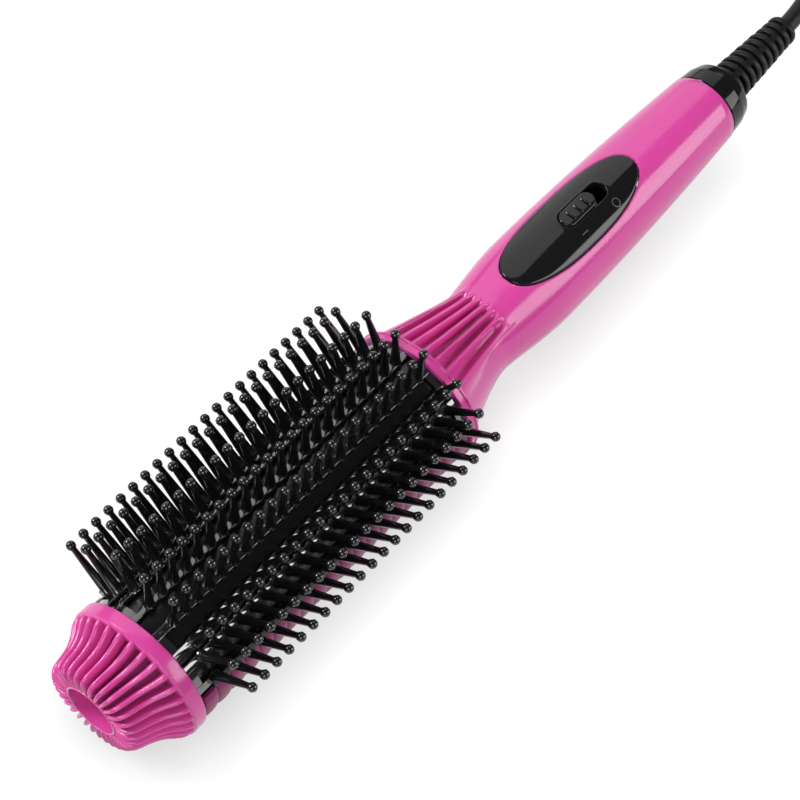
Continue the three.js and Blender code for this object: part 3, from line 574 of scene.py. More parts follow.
def spread(number, start, end):
    """Evenly spaced values, both ends included."""
    return [start + (end - start) * k / (number - 1) for k in range(number)]


def within(value):
    return min(1.0, max(0.0, value))


def smoothstep(value):
    value = within(value)
    return value * value * (3 - 2 * value)


def arch(place):
    """The height of a round arch that runs from -1 to 1."""
    return math.sqrt(max(0.0, 1 - place ** 2))


# Geometry Nodes trees.
class Tree(Nodes):
    """A Geometry Nodes tree that repeats the shape it is given, with named inputs."""

    def __init__(self, name, inputs):
        super().__init__(bpy.data.node_groups.new(name, "GeometryNodeTree"))
        face = self.tree.interface
        for way in ("INPUT", "OUTPUT"):
            face.new_socket("Geometry", in_out=way, socket_type="NodeSocketGeometry")
        self.names = {}
        for label, kind in inputs.items():
            socket = face.new_socket(label, in_out="INPUT", socket_type="NodeSocket" + kind)
            self.names[label] = socket.identifier
        self.inputs = self.add("NodeGroupInput")

    def vector(self, x, y, z):
        return self.add("ShaderNodeCombineXYZ", {"X": x, "Y": y, "Z": z})[0]

    def turn(self, angle):
        """A rotation about the comb's own direction."""
        return self.add("FunctionNodeEulerToRotation", {0: self.vector(angle, 0, 0)})[0]

    def close(self, points, **placing):
        """Sets the incoming shape on the points, as real mesh with its material."""
        copies = self.add("GeometryNodeInstanceOnPoints", {
            "Points": points, "Instance": self.inputs["Geometry"], **placing,
        })
        real = self.add("GeometryNodeRealizeInstances", {"Geometry": copies["Instances"]})
        paint = self.add("GeometryNodeSetMaterial", {
            "Geometry": real["Geometry"], "Material": self.inputs["Material"],
        })
        self.add("NodeGroupOutput", {"Geometry": paint["Geometry"]})


def circle_tree():
    """Repeats a shape round the comb's axis."""
    made = Tree("round the axis", {"Count": "Int", "Material": "Material"})
    number = made.inputs["Count"]
    points = made.add("GeometryNodePoints", {"Count": number})
    step = made.math("DIVIDE", 2 * math.pi, number)
    angle = made.math("MULTIPLY", made.add("GeometryNodeInputIndex")[0], step)
    made.close(points[0], Rotation=made.turn(angle))
    return made


def row_tree():
    """Repeats a shape in a straight row, leaning about the row, each copy a share smaller across it."""
    made = Tree("in a row", {
        "Count": "Int", "Start": "Vector", "Step": "Vector", "Lean": "Float", "Shrink": "Float",
        "Material": "Material",
    })
    given = made.inputs
    line = made.add("GeometryNodeMeshLine", {
        "Count": given["Count"], "Start Location": given["Start"], "Offset": given["Step"],
    }, mode="OFFSET")
    lost = made.math("MULTIPLY", made.add("GeometryNodeInputIndex")[0], given["Shrink"])
    across = made.math("SUBTRACT", 1.0, lost)
    made.close(line[0], Rotation=made.turn(given["Lean"]), Scale=made.vector(1.0, across, across))
    return made


def repeated(unit, made, material, **values):
    """The unit repeated by a tree, as a plain mesh."""
    modifier = unit.modifiers.new("repeat", "NODES")
    modifier.node_group = made.tree
    modifier[made.names["Material"]] = finish(material)
    for label, value in values.items():
        modifier[made.names[label]] = value
    return bake(unit)


# The nose. A fin's crest runs from the recess to the rim, as stations and distances from the axis in
# millimetres. Its section is in shares of its thickness, which grows away from the axis, and of its
# depth. The wall lies behind the fins, in a darker pink that paints the shade between them.
FIN_CREST = (
    (1, 8.9), (0.3, 10), (0, 11.5), (0, 13.4), (0.3, 15.1), (1.5, 16.5), (3.6, 17.4), (6.2, 18.1),
    (8.6, 18.9), (10.8, 20), (12.8, 21.4), (14.6, 22.8), (16.2, 23.5), (18.1, 23.6),
)
FIN_SECTION = (
    (-0.5, -1.0), (-0.5, -0.3), (-0.42, -0.13), (-0.24, -0.03), (0, 0),
    (0.24, -0.03), (0.42, -0.13), (0.5, -0.3), (0.5, -1.0),
)
FIN_THICKNESS = 0.62 * MM
FIN_GROWTH = 0.062
FIRST_FIN = math.radians(2.1)
NOSE_WALL = (
    (1, 9), (1.6, 12.6), (3.4, 13.6), (7, 14.6), (10, 16), (13, 18.2), (15.2, 19.8), (17.5, 20.6),
    (17.5, 20), (15.2, 19.2), (13, 17.5), (10, 15.2), (7, 13.8), (3.4, 12.8), (2.3, 12), (2, 9),
)


def fin(nose):
    """One fin: a round-crested rib from the recess, over the shoulder, to the rim."""
    crest = smooth_line([(x * MM, r * MM, 0) for x, r in FIN_CREST], per_stretch=3)
    loops = []
    for i, here in enumerate(crest):
        along = (crest[min(i + 1, len(crest) - 1)] - crest[max(i - 1, 0)]).normalized()
        outward = Vector((-along.y, along.x, 0)) * nose.fin_depth
        thickness = FIN_THICKNESS + FIN_GROWTH * here.y
        loops.append([
            (here.x + outward.x * depth, across * thickness * (1 - 0.15 * depth), here.y + outward.y * depth)
            for across, depth in FIN_SECTION
        ])
    unit = tidy(new_piece("fin", *rings(loops)), sharp=55)
    unit.data.transform(Matrix.Rotation(FIRST_FIN, 4, "X"))
    return unit


def build_nose():
    """The fins, the smooth rim and the recess as one piece, and the wall behind the fins, whose darker pink
    is painted shade.
    """
    nose = bpy.context.scene.comb_nose
    fins = repeated(fin(nose), circle_tree(), "pink_shell", Count=nose.fins)
    outer = RIM_RADIUS
    inner = outer - 3.4 * MM
    front = NOSE_LENGTH - nose.rim_width
    rim = turned("rim", softened([
        (front, outer - 0.9 * MM, 0.15 * MM), (front + 0.6 * MM, outer, 0.35 * MM),
        (NOSE_LENGTH - 0.4 * MM, outer, 0.4 * MM), (NOSE_LENGTH, outer - 0.7 * MM, 0.2 * MM),
        (NOSE_LENGTH, inner), (front, inner, 0.2 * MM),
    ]), segments=160, closed=True)
    wall = turned("nose_wall", [(x * MM, r * MM) for x, r in NOSE_WALL], closed=True)
    hole = nose.hole_radius
    screw_hole = 1.6 * MM
    mouth = 0.3 * MM
    bottom = nose.hole_depth
    back = bottom + 1.5 * MM
    tube = turned("tube", softened([
        (mouth, hole, 0.25 * MM), (mouth, hole + 0.8 * MM, 0.25 * MM), (back, hole + 0.9 * MM),
        (back, screw_hole), (bottom, screw_hole), (bottom, hole - 0.2 * MM, 0.8 * MM),
    ]), closed=True)
    whole = joined("finned_nose", [fins, rim, tube])
    for piece in (whole, wall):
        for vertex in piece.data.vertices:
            vertex.co.y += nose.lean * max(0.0, 1 - vertex.co.x / bottom)
    settle(resting(whole), "pink_shell", stands_for=["nose_cap"])
    # The wall's darker pink is painted shade between the fins.
    settle(wall, "pink_shell", material="shaded pink")


# The heated head.
def build_barrel():
    """The heated tube that shows between the strips."""
    start, end = span("barrel")
    radius = width("barrel") / 2
    wall = 1.5 * MM
    barrel = turned("heated_barrel", softened([
        (start, radius, 0.4 * MM), (end, radius, 0.4 * MM), (end, radius - wall), (start, radius - wall),
    ]), segments=160, closed=True)
    settle(barrel, "gloss_black", stands_for=["barrel"], material="barrel black")


def build_back_shell():
    """The ribbed half round behind the pins: lobes along the comb, with its long edges rolled in."""
    start, end = span("back_shell")
    outer = width("back_shell") / 2
    lobe_pitch = 6.06 * MM
    lobe_depth = 1.1 * MM
    wall = 1.2 * MM
    fullness = 0.8
    steps = 10
    half_spread = math.radians(104)
    rolled = math.radians(2.5)
    roll_depth = 0.5 * MM
    last = round((end - start) / lobe_pitch) * steps
    angles = spread(57, -half_spread, half_spread)
    profiles = []
    for angle in angles:
        share = max(0.0, abs(angle) - half_spread + rolled) / rolled
        roll = roll_depth * (1 - arch(share))
        crest = []
        for k in range(last + 1):
            place = (k % steps) / steps
            lift = arch(2 * place - 1) ** fullness
            crest.append((start + (end - start) * k / last, outer - lobe_depth * (1 - lift) - roll))
        inner = outer - lobe_depth - wall + roll
        profiles.append([(start, inner), *crest, (end, inner)])
    shell = swept("ribbed_back", profiles, [math.pi + a for a in angles], sharp=50)
    # The back shell's darker pink is painted shade from the pins above it.
    settle(shell, "pink_shell", stands_for=["back_shell"], material="back pink")


# Each row of pins: the angle and distance of its balls from the axis, how far its pins lean from
# upright, in degrees, and how far it is shifted along the comb on the left and on the right.
ROWS = (
    {"tip": 8.5, "reach": 36.6 * MM, "lean": 4.3, "shift": (-0.2 * MM, 0)},
    {"tip": 29.2, "reach": 36.6 * MM, "lean": 25.3, "shift": (1.4 * MM, 1 * MM)},
    {"tip": 45.6, "reach": 38.7 * MM, "lean": 46.9, "shift": (-1.2 * MM, -0.2 * MM)},
    {"tip": 59.2, "reach": 40 * MM, "lean": 49.9, "shift": (-0.9 * MM, 0.3 * MM)},
)


# The strip under the outermost row rises above its pins' feet, and the second row's strip slopes across.
OUTER_RISE = 1.9 * MM
OUTER_INSET = 4.5 * MM
STRIP_SLOPE = 0.21


def around(degrees, radius):
    """A point across the comb, at an angle from the top."""
    angle = math.radians(degrees)
    return Vector((radius * math.sin(angle), radius * math.cos(angle)))


def foot(row, ground):
    """Where a row's pins meet their strip, and their length up to the middle of the ball."""
    tip = around(row["tip"], row["reach"])
    lean = around(row["lean"], 1)
    inward = tip.dot(lean)
    reach = inward - math.sqrt(inward ** 2 - tip.length_squared + ground ** 2)
    return tip - lean * reach, reach


def pin(pins, reach):
    """One pin: a flared foot, a tapering shaft and a ball."""
    ball = pins.ball_radius
    neck = math.sqrt(ball ** 2 - pins.neck_radius ** 2)
    flare = 0.35 * MM
    profile = [
        (0, pins.foot_radius + flare), (0.55 * MM, pins.foot_radius), (reach - neck, pins.neck_radius),
    ]
    for angle in (math.radians(d) for d in (-32, 2, 34, 62)):
        profile.append((reach + ball * math.sin(angle), ball * math.cos(angle)))
    sides = 10
    loops = [[(r * math.cos(t), r * math.sin(t), h) for t in circle(sides)] for h, r in profile]
    points, faces = rings(loops, caps=False)
    points.append((0, 0, reach + ball))
    last = (len(loops) - 1) * sides
    faces += [(last + k, last + (k + 1) % sides, len(points) - 1) for k in range(sides)]
    faces.append(tuple(range(sides))[::-1])
    return tidy(new_piece("pin", points, faces), sharp=60)


def strip(pins, degrees, ground, start, end, rise=0.0, slope=0.0):
    """The narrow strip that a row stands on, with rounded edges. It may rise above the pins' feet."""
    half = pins.strip_width / 2
    low = -pins.strip_height
    section = softened([(-half, low), (-half, rise, 0.3 * MM), (half, rise, 0.3 * MM), (half, low)], steps=3)
    turn = Matrix.Rotation(math.radians(-degrees), 3, "X")
    loops = [
        [turn @ Vector((x, across, ground + up - slope * across)) for across, up in section]
        for x in (start, end)
    ]
    return tidy(new_piece("strip", *rings(loops)))


def cross_bar(pins, low, high, ground, start, end):
    """A thin bar that joins two strips."""
    top = ground - 0.25 * MM
    bottom = ground - pins.strip_height
    section = ((start, bottom), (start, top), (end, top), (end, bottom))
    angles = [math.radians(a) for a in spread(7, low, high)]
    return swept("cross bar", [section] * len(angles), angles)


def build_bristle_bars():
    """The four mouldings: two rows of pins each, on strips that two bars join."""
    pins = bpy.context.scene.comb_pins
    above_barrel = 0.3 * MM
    ground = width("barrel") / 2 + above_barrel + pins.strip_height
    sunk = 0.2 * MM
    bar_width = 2.4 * MM
    made = row_tree()
    for side, side_name in ((1, "left"), (-1, "right")):
        for pair, pair_name in ((ROWS[:2], "inner"), (ROWS[2:], "outer")):
            node = f"bristle_bar_{side_name}_{pair_name}"
            start, end = span(node)
            parts = []
            degrees = []
            for row in pair:
                base, reach = foot(row, ground - sunk)
                place = side * math.degrees(math.atan2(base.x, base.y))
                degrees.append(place)
                shift = row["shift"][0 if side > 0 else 1]
                parts.append(repeated(
                    pin(pins, reach), made, "pin_black", Count=pins.number,
                    Start=(NOSE_LENGTH + pins.first + shift, side * base.x, base.y),
                    Step=(pins.pitch, 0.0, 0.0), Lean=math.radians(-side * row["lean"]),
                ))
                slope = side * STRIP_SLOPE if row is ROWS[1] else 0.0
                parts.append(strip(pins, place, ground, start, end, slope=slope))
                if row is ROWS[-1]:
                    ends = (start + OUTER_INSET, end - OUTER_INSET)
                    parts.append(strip(pins, place, ground, *ends, rise=OUTER_RISE))
            for x in (start, end - bar_width):
                parts.append(cross_bar(pins, *sorted(degrees), ground, x, x + bar_width))
            settle(joined(f"pins_{side_name}_{pair_name}", parts), "pin_black", stands_for=[node])


# The handle.
def flange_end():
    """Where the flange ends and the neck begins."""
    return HEAD_END + bpy.context.scene.comb_handle.flange_width


# The narrowest and the widest place of the handle, and its radius where the neck leaves the flange.
NECK_AT = HEAD_END + 30 * MM
GRIP_AT = HEAD_END + 60.6 * MM
NECK_TOP = RIM_RADIUS - 1.6 * MM


def handle_radius(x):
    """The handle's radius behind the flange, without the flutes."""
    handle = bpy.context.scene.comb_handle
    if x < NECK_AT:
        share = max(0.0, (x - flange_end()) / (NECK_AT - flange_end()))
        return handle.neck_radius + (NECK_TOP - handle.neck_radius) * (1 - share) ** 1.5
    if x < GRIP_AT:
        share = smoothstep(((x - NECK_AT) / (GRIP_AT - NECK_AT)) ** 0.8)
        return handle.neck_radius + (handle.grip_radius - handle.neck_radius) * share
    share = min(1.0, (x - GRIP_AT) / (HANDLE_END - GRIP_AT))
    return handle.grip_radius - (handle.grip_radius - handle.tail_radius) * share ** 1.8


# The crests between the flutes fan out about the top of the neck. They run almost straight.
CREST_ANGLES = [math.radians(d) for d in (-38.5, -23.3, -11.4, 0, 11.4, 23.3, 38.5)]
CREST_FRONT = 23.6 * MM
CREST_BACK = 15.2 * MM

# How a flute begins behind the flange, rises to its crests and runs out on the grip. The flutes on the
# left run a little further back than those on the right.
FLUTE_START = 0.6 * MM
FLUTE_WALL = 0.75 * MM
FLUTE_ROUND = 3.5 * MM
FLUTE_RUNOUT = 4 * MM
FLUTE_SKEW = 1.2 * MM
CREST_FADE = 5 * MM

# The outermost crests have a flat and then slope down, over fewer degrees further back.
OUTER_FLAT = 2.2
OUTER_SLOPE_FRONT = 16
OUTER_SLOPE_BACK = 4
OUTER_SLOPE_FROM = 10 * MM
OUTER_SLOPE_TO = 24 * MM

# Where the top shell's profiles stand: at shares of half a flute, and at degrees beside the flutes.
HALF_FLUTE = (0.04, 0.07, 0.1, 0.13, 0.16, 0.19, 0.22, 0.26, 0.31, 0.36, 0.42)
BESIDE_FLUTES = (0, 1.1, 2.2, 3, 3.8, 4.6, 5.4, 6.2, 7.5, 9, 11, 13, 15, 17, 20, 24, 28, 33, 38, 43, 48)


def crest_rise(x):
    """How far the crests stand above the plain neck."""
    handle = bpy.context.scene.comb_handle
    share = within((x - flange_end()) / (handle.flute_end - handle.flange_width))
    line = CREST_BACK + (CREST_FRONT - CREST_BACK) * (1 - share) ** 1.12
    fade = smoothstep((HEAD_END + handle.flute_end + FLUTE_ROUND - x) / CREST_FADE)
    return max(0.0, line - handle_radius(x)) * fade


def fluted_radius(x, angle):
    """The top shell's radius: the fan of flutes on the neck, and the rolled edge round the panel."""
    handle = bpy.context.scene.comb_handle
    start = flange_end()
    half_fan = CREST_ANGLES[-1]
    base = handle_radius(x)
    rise = crest_rise(x)
    plain = base - edge_dip(x, base, angle)
    if rise == 0:
        return plain
    if abs(angle) >= half_fan:
        beyond = math.degrees(abs(angle) - half_fan) - OUTER_FLAT
        back = smoothstep((x - start - OUTER_SLOPE_FROM) / (OUTER_SLOPE_TO - OUTER_SLOPE_FROM))
        slope = OUTER_SLOPE_FRONT + (OUTER_SLOPE_BACK - OUTER_SLOPE_FRONT) * back
        return plain + rise * (1 - smoothstep(beyond / slope))
    after = next(i for i, a in enumerate(CREST_ANGLES) if angle < a)
    low, high = CREST_ANGLES[after - 1], CREST_ANGLES[after]
    place = abs(2 * (angle - low) / (high - low) - 1)
    across = min(angle - low, high - angle) * (base + rise)
    end = HEAD_END + handle.flute_end + FLUTE_SKEW * (0.4 + angle / half_fan)
    stop = end - FLUTE_ROUND * (1 - arch(place))
    cut = smoothstep((stop - x) / FLUTE_RUNOUT) * smoothstep((x - start) / FLUTE_START)
    wall = smoothstep((across - handle.crest_width / 2) / FLUTE_WALL)
    return plain + rise - (rise + handle.flute_depth) * cut * wall


def edge_dip(x, radius, angle, fillet=0.5 * MM):
    """How far the surface rolls down at the edge of the panel's opening."""
    distance = outside_panel(x, radius * math.sin(angle)) - bpy.context.scene.comb_switch.clearance
    if distance >= fillet or math.cos(angle) < 0:
        return 0.0
    return fillet * (1 - arch(1 - max(distance, 0.0) / fillet))


PANEL_MIDDLE = (PANEL_START + PANEL_END) / 2
PANEL_POWER = 2.4
OUTLINE_POINTS = 144


def outside_panel(x, y):
    """About how far a point lies outside the panel's outline."""
    half_length = (PANEL_END - PANEL_START) / 2
    half_width = PANEL_WIDTH / 2
    dx = abs(x - PANEL_MIDDLE)
    dy = abs(y)
    size = ((dx / half_length) ** PANEL_POWER + (dy / half_width) ** PANEL_POWER) ** (1 / PANEL_POWER)
    at_middle = size < 1e-6
    if at_middle:
        return -half_width
    slope_x = dx ** (PANEL_POWER - 1) / half_length ** PANEL_POWER
    slope_y = dy ** (PANEL_POWER - 1) / half_width ** PANEL_POWER
    return (size - 1) / (size ** (1 - PANEL_POWER) * math.hypot(slope_x, slope_y))


def panel_outline(margin):
    """The panel's outline seen from above, grown by a margin."""
    half_length = (PANEL_END - PANEL_START) / 2 + margin
    half_width = PANEL_WIDTH / 2 + margin
    return [(PANEL_MIDDLE + x, y) for x, y in oval(half_length, half_width, PANEL_POWER, OUTLINE_POINTS)]


def handle_profile(stations, radius_at):
    """A shell's closed profile: round the flange, along the handle, and back inside."""
    outer = RIM_RADIUS
    crest = flange_end()
    wall = bpy.context.scene.comb_handle.wall
    groove = outer - 0.4 * MM
    flange = softened([
        (HEAD_END, outer - wall), (HEAD_END, outer, 0.2 * MM), (HEAD_END + 0.5 * MM, outer, 0.15 * MM),
        (HEAD_END + 0.8 * MM, groove, 0.2 * MM), (crest - 1 * MM, groove, 0.2 * MM),
        (crest - 0.7 * MM, outer, 0.15 * MM), (crest, outer, 0.25 * MM), (crest, outer - 0.5 * MM),
    ], steps=3, closed=False)[:-1]
    skin = [(x, radius_at(x)) for x in stations]
    tail = handle_radius(HANDLE_END)
    end = [
        (HANDLE_END - 0.1 * MM, tail - 0.12 * MM), (HANDLE_END, tail - 0.4 * MM), (HANDLE_END, tail - wall),
    ]
    inside = [(x, handle_radius(x) - wall) for x in spread(12, HANDLE_END - 2 * MM, crest + 3 * MM)]
    return [*flange, *skin, *end, *inside, (crest - 0.5 * MM, outer - wall)]


def build_handle():
    """The fluted top shell with its opening for the panel, and the plain bottom shell."""
    crest = flange_end()
    flute_stop = HEAD_END + bpy.context.scene.comb_handle.flute_end + 6 * MM
    last = HANDLE_END - 0.35 * MM
    stations = [
        *spread(6, crest + 0.05 * MM, crest + 0.65 * MM), *spread(58, crest + 1.2 * MM, flute_stop),
        *spread(5, flute_stop + 1 * MM, PANEL_START - 2 * MM),
        *spread(100, PANEL_START - 1.4 * MM, PANEL_END + 1.4 * MM), *spread(16, PANEL_END + 2.5 * MM, last),
    ]
    seam = math.radians(89.6)
    shares = (0, *HALF_FLUTE, 0.5, *[1 - s for s in HALF_FLUTE[::-1]])
    fan = [low + (high - low) * s for low, high in zip(CREST_ANGLES, CREST_ANGLES[1:]) for s in shares]
    side = [CREST_ANGLES[-1] + math.radians(d) for d in BESIDE_FLUTES]
    angles = [*[-a for a in side[:0:-1]], *fan, *side]
    angles = [-seam, *[a for a in angles if abs(a) < seam - 0.01], seam]
    profiles = [handle_profile(stations, lambda x, a=a: fluted_radius(x, a)) for a in angles]
    top = swept("handle_top", profiles, angles, sharp=62)
    opening = panel_outline(bpy.context.scene.comb_switch.clearance)
    levels = (5 * MM, 30 * MM)
    cut_by(top, tidy(new_piece("cutter", *rings([[(x, y, z) for x, y in opening] for z in levels]))))
    settle(tidy(top, sharp=62), "pink_shell", stands_for=["handle_top_shell"])
    coarse = [*spread(24, crest + 0.1 * MM, flute_stop), *spread(30, flute_stop + 3 * MM, last)]
    under = [math.pi + a for a in spread(61, -seam, seam)]
    bottom = swept("handle_bottom", [handle_profile(coarse, handle_radius)] * len(under), under, sharp=50)
    screw_hole = 3.2 * MM
    for node in ("handle_screw_front", "handle_screw_rear"):
        cut_by(bottom, post(sum(span(node)) / 2, screw_hole, low=-30 * MM, high=-5 * MM))
    settle(resting(tidy(bottom, sharp=50)), "pink_shell", stands_for=["handle_bottom_shell"])


def post(x, radius, low, high):
    """An upright round post on the comb's middle plane."""
    loops = [[(x + radius * math.cos(t), radius * math.sin(t), z) for t in circle(48)] for z in (low, high)]
    return tidy(new_piece("post", *rings(loops)))


# The switch. Its edges are rolled, as (margin, drop) in millimetres from the surface.
PANEL_EDGE = ((0, 2.3), (0, 0.5), (-0.05, 0.28), (-0.17, 0.1), (-0.34, 0.02), (-0.6, 0))
SLOT_LIP = ((0.5, -0.08), (0.3, -0.14), (0.12, -0.08), (0.02, 0.08), (0, 0.3), (0, 2.3))
KNOB_EDGE = ((0.04, 0.32), (0.15, 0.1), (0.35, -0.02), (0.6, 0))
KNOB_START, KNOB_END = (value + inset * MM for value, inset in zip(span("switch_knob"), (3, -3)))
KNOB_WIDTH = 6.4 * MM
TRAVEL = frame["joints"][0]["range_m"][1]


def slot_outline(start, end, wide, margin=0.0, number=OUTLINE_POINTS):
    """A slot with round ends seen from above, grown by a margin. Like an oval, it starts at its far end."""
    half = wide / 2 + margin
    middle = (start + end) / 2
    run = (end - start - wide) / 2
    lap = 4 * run + 2 * math.pi * half
    outline = []
    for k in range(number):
        side = 1 if 2 * k <= number else -1
        along = min(k, number - k) / number * lap
        straight = min(max(along - math.pi * half / 2, 0.0), 2 * run)
        angle = (along - straight) / half
        outline.append((middle + run - straight + half * math.cos(angle), side * half * math.sin(angle)))
    return outline


def panel_height(x, y, lift=0.0):
    """The height of the panel's surface above the comb's axis."""
    radius = handle_radius(x) + bpy.context.scene.comb_switch.proud + lift
    return math.sqrt(max(0.0, radius ** 2 - y ** 2))


def on_panel(outline, drop=0.0):
    """An outline laid on the panel's surface and lowered a little."""
    return [(x, y, panel_height(x, y) - drop) for x, y in outline]


def build_panel():
    """The glossy oval, which follows the handle, with its rolled edge and the knob's slot."""
    gap = bpy.context.scene.comb_switch.clearance
    slot = (KNOB_START - gap, KNOB_END + TRAVEL + gap, KNOB_WIDTH + 2 * gap)
    loops = [on_panel(panel_outline(margin * MM), drop * MM) for margin, drop in PANEL_EDGE]
    outer = panel_outline(PANEL_EDGE[-1][0] * MM)
    round_slot = 0.7 * MM
    inner = slot_outline(*slot, round_slot)
    for share in spread(16, 0, 1)[1:]:
        loops.append(on_panel([
            (ax + (bx - ax) * share, ay + (by - ay) * share) for (ax, ay), (bx, by) in zip(outer, inner)
        ]))
    loops += [on_panel(slot_outline(*slot, margin * MM), drop * MM) for margin, drop in SLOT_LIP]
    loops.append(loops[0])
    panel = tidy(new_piece("switch_oval", *rings(loops, caps=False)), sharp=50)
    settle(panel, "gloss_black", stands_for=["switch_panel"])


def build_knob():
    """The sliding pad: crowned, with a rolled edge and three curved finger ridges."""
    middle = (KNOB_START + KNOB_END) / 2
    top = panel_height(middle, 0, bpy.context.scene.comb_switch.knob_height)
    ridge_pitch = 3.7 * MM
    ridges = [middle + k * ridge_pitch for k in (-1, 0, 1)]
    sunk = 0.25 * MM
    crown = 0.35 * MM
    ridge_height = 0.4 * MM
    ridge_width = 0.42 * MM
    ridge_bow = 0.09 / MM
    ridge_end, ridge_fade = 2.3 * MM, 0.6 * MM

    def height(x, y):
        lift = 0.0
        for place in ridges:
            offset = (x - place - ridge_bow * y ** 2) / ridge_width
            lift += math.exp(-offset ** 2) * smoothstep((ridge_end - abs(y)) / ridge_fade)
        return top - crown * (y / (KNOB_WIDTH / 2)) ** 2 + ridge_height * lift - sunk

    def outline(margin):
        return slot_outline(KNOB_START, KNOB_END, KNOB_WIDTH, margin, 128)

    flange = 1.4 * MM
    flange_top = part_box("switch_slider")[1][2] - AXIS_HEIGHT + 1.3 * MM
    levels = ((flange, flange_top - 1 * MM), (flange, flange_top), (0, flange_top), (0, top - 1.1 * MM))
    loops = [[(x, y, z) for x, y in outline(margin)] for margin, z in levels]
    inwards = [(share, 0) for share in spread(14, KNOB_EDGE[-1][0], KNOB_WIDTH / 2 / MM - 0.02)[1:]]
    for inset, drop in (*KNOB_EDGE, *inwards):
        loops.append([(x, y, height(x, y) - drop * MM) for x, y in outline(-inset * MM)])
    knob = tidy(new_piece("switch_pad", *rings(loops)), sharp=50)
    settle(knob, "gloss_black", body="switch", stands_for=["switch_knob"])


def build_marks():
    """The two printed marks: a ring where the switch is off and a bar where it is on."""
    line = bpy.context.scene.comb_switch.mark_width / 2
    ink = 0.04 * MM
    beside = -7.0 * MM
    ring_at = KNOB_END + 4.1 * MM
    ring_radius = 1.35 * MM
    bar_at = KNOB_START + 3.3 * MM
    half_bar = 1.4 * MM
    section = ((-line, 0.0), (-line, ink), (line, ink), (line, 0.0))
    loops = []
    for across, lift in section:
        radius = ring_radius + across
        outline = [(ring_at + radius * math.cos(t), beside + radius * math.sin(t)) for t in circle(48)]
        loops.append([(x, y, panel_height(x, y, lift)) for x, y in outline])
    ring = new_piece("ring", *rings([*loops, loops[0]], caps=False))
    loops = []
    for x in spread(9, bar_at - half_bar, bar_at + half_bar):
        edges = [(beside + across, lift) for across, lift in section]
        loops.append([(x, y, panel_height(x, y, lift)) for y, lift in edges])
    bar = new_piece("bar", *rings(loops))
    settle(tidy(joined("switch_marks", [ring, bar])), "gloss_black", material="mark")


# The cord's end of the handle. The relief starts a little inside the frame's cap, and the cap ends there.
RELIEF_INSET = 1.6 * MM


def build_end_cap():
    """The cap at the end of the handle, and the bush that turns in it."""
    start, end = span("end_cap")
    end -= RELIEF_INSET
    radius = width("end_cap") / 2
    inner = radius - 2.4 * MM
    collar = 7.6 * MM
    bore = collar + 0.3 * MM
    wall_back = end - 4.8 * MM
    cap = turned("end_cover", softened([
        (start, radius - 0.3 * MM, 0.2 * MM), (start + 0.5 * MM, radius, 0.4 * MM),
        (end - 5.6 * MM, radius - 0.45 * MM, 3 * MM), (end - 1.3 * MM, radius - 1.6 * MM, 1.6 * MM),
        (end, radius - 4 * MM, 0.8 * MM), (end, bore, 0.3 * MM), (wall_back, bore), (wall_back, inner),
        (start, inner),
    ], steps=6), segments=128, closed=True)
    settle(cap, "gloss_black", stands_for=["end_cap"], material="cap black")
    bush_start = span("swivel_bush")[0]
    flange_radius = inner - 0.3 * MM
    flange_back = wall_back - 0.5 * MM
    face = RELIEF_START - RELIEF_INSET - 0.1 * MM
    cord_hole = 2.4 * MM
    turning = turned("cord_bush", softened([
        (bush_start, flange_radius), (flange_back, flange_radius), (flange_back, collar),
        (face, collar, 0.4 * MM), (face, cord_hole), (bush_start, cord_hole),
    ]), closed=True)
    settle(turning, "heatproof_black", body="swivel", stands_for=["swivel_bush"])


def build_relief():
    """The ribbed boot: rings that shrink towards the tip, with webs between them, on a core."""
    cord = bpy.context.scene.comb_cord
    start, end = RELIEF_START - RELIEF_INSET, RELIEF_END
    base = 7.2 * MM
    tip = 5.7 * MM
    bore = cord.diameter / 2 + 0.12 * MM
    disc = start + 2.5 * MM
    sleeve = end - 2.6 * MM
    pocket = end - 3 * MM
    inner = 1 * MM
    core = turned("core", softened([
        (start, base, 0.3 * MM), (disc, base, 0.7 * MM), (disc, base - 1.7 * MM),
        (sleeve, tip - 1.5 * MM), (sleeve, tip, 0.8 * MM), (end, tip - 0.3 * MM, 1.1 * MM),
        (end, bore, 0.3 * MM), (pocket, bore), (pocket, inner), (start, inner),
    ]), closed=True)
    ribs = cord.relief_ribs
    turned_by = math.radians(18)
    pitch = (sleeve - disc) / (ribs + 0.35)
    first = disc + 0.68 * pitch
    half = 0.31 * pitch
    outer = base - 0.05 * MM
    inside = outer - 2.2 * MM
    rib = turned("rib", softened([
        (-half, outer, 0.75 * MM), (half, outer, 0.75 * MM), (half, inside), (-half, inside),
    ]), segments=72, closed=True)
    shrink = (outer - tip) / outer / (ribs - 1)
    made = row_tree()
    parts = [core, repeated(
        rib, made, "cord_black", Count=ribs, Start=(first, 0.0, 0.0), Step=(pitch, 0.0, 0.0), Shrink=shrink,
    )]
    for quarter in range(4):
        odd = quarter % 2
        parts.append(repeated(
            block(pitch * 1.1, 2.4 * MM, base - 0.25 * MM), made, "cord_black",
            Count=(ribs - odd) // 2 + (1 - odd), Start=(first + pitch * (odd - 0.5), 0.0, 0.0),
            Step=(2 * pitch, 0.0, 0.0), Lean=math.pi / 2 * quarter + turned_by, Shrink=2 * shrink,
        ))
    settle(joined("cord_relief", parts), "cord_black", body="swivel", stands_for=["strain_relief"])


def block(long, wide, high):
    """A small block that stands on the axis."""
    loops = [[(x, y * wide / 2, z) for y, z in ((-1, 0), (-1, high), (1, high), (1, 0))]
             for x in (-long / 2, long / 2)]
    return tidy(new_piece("block", *rings(loops)))


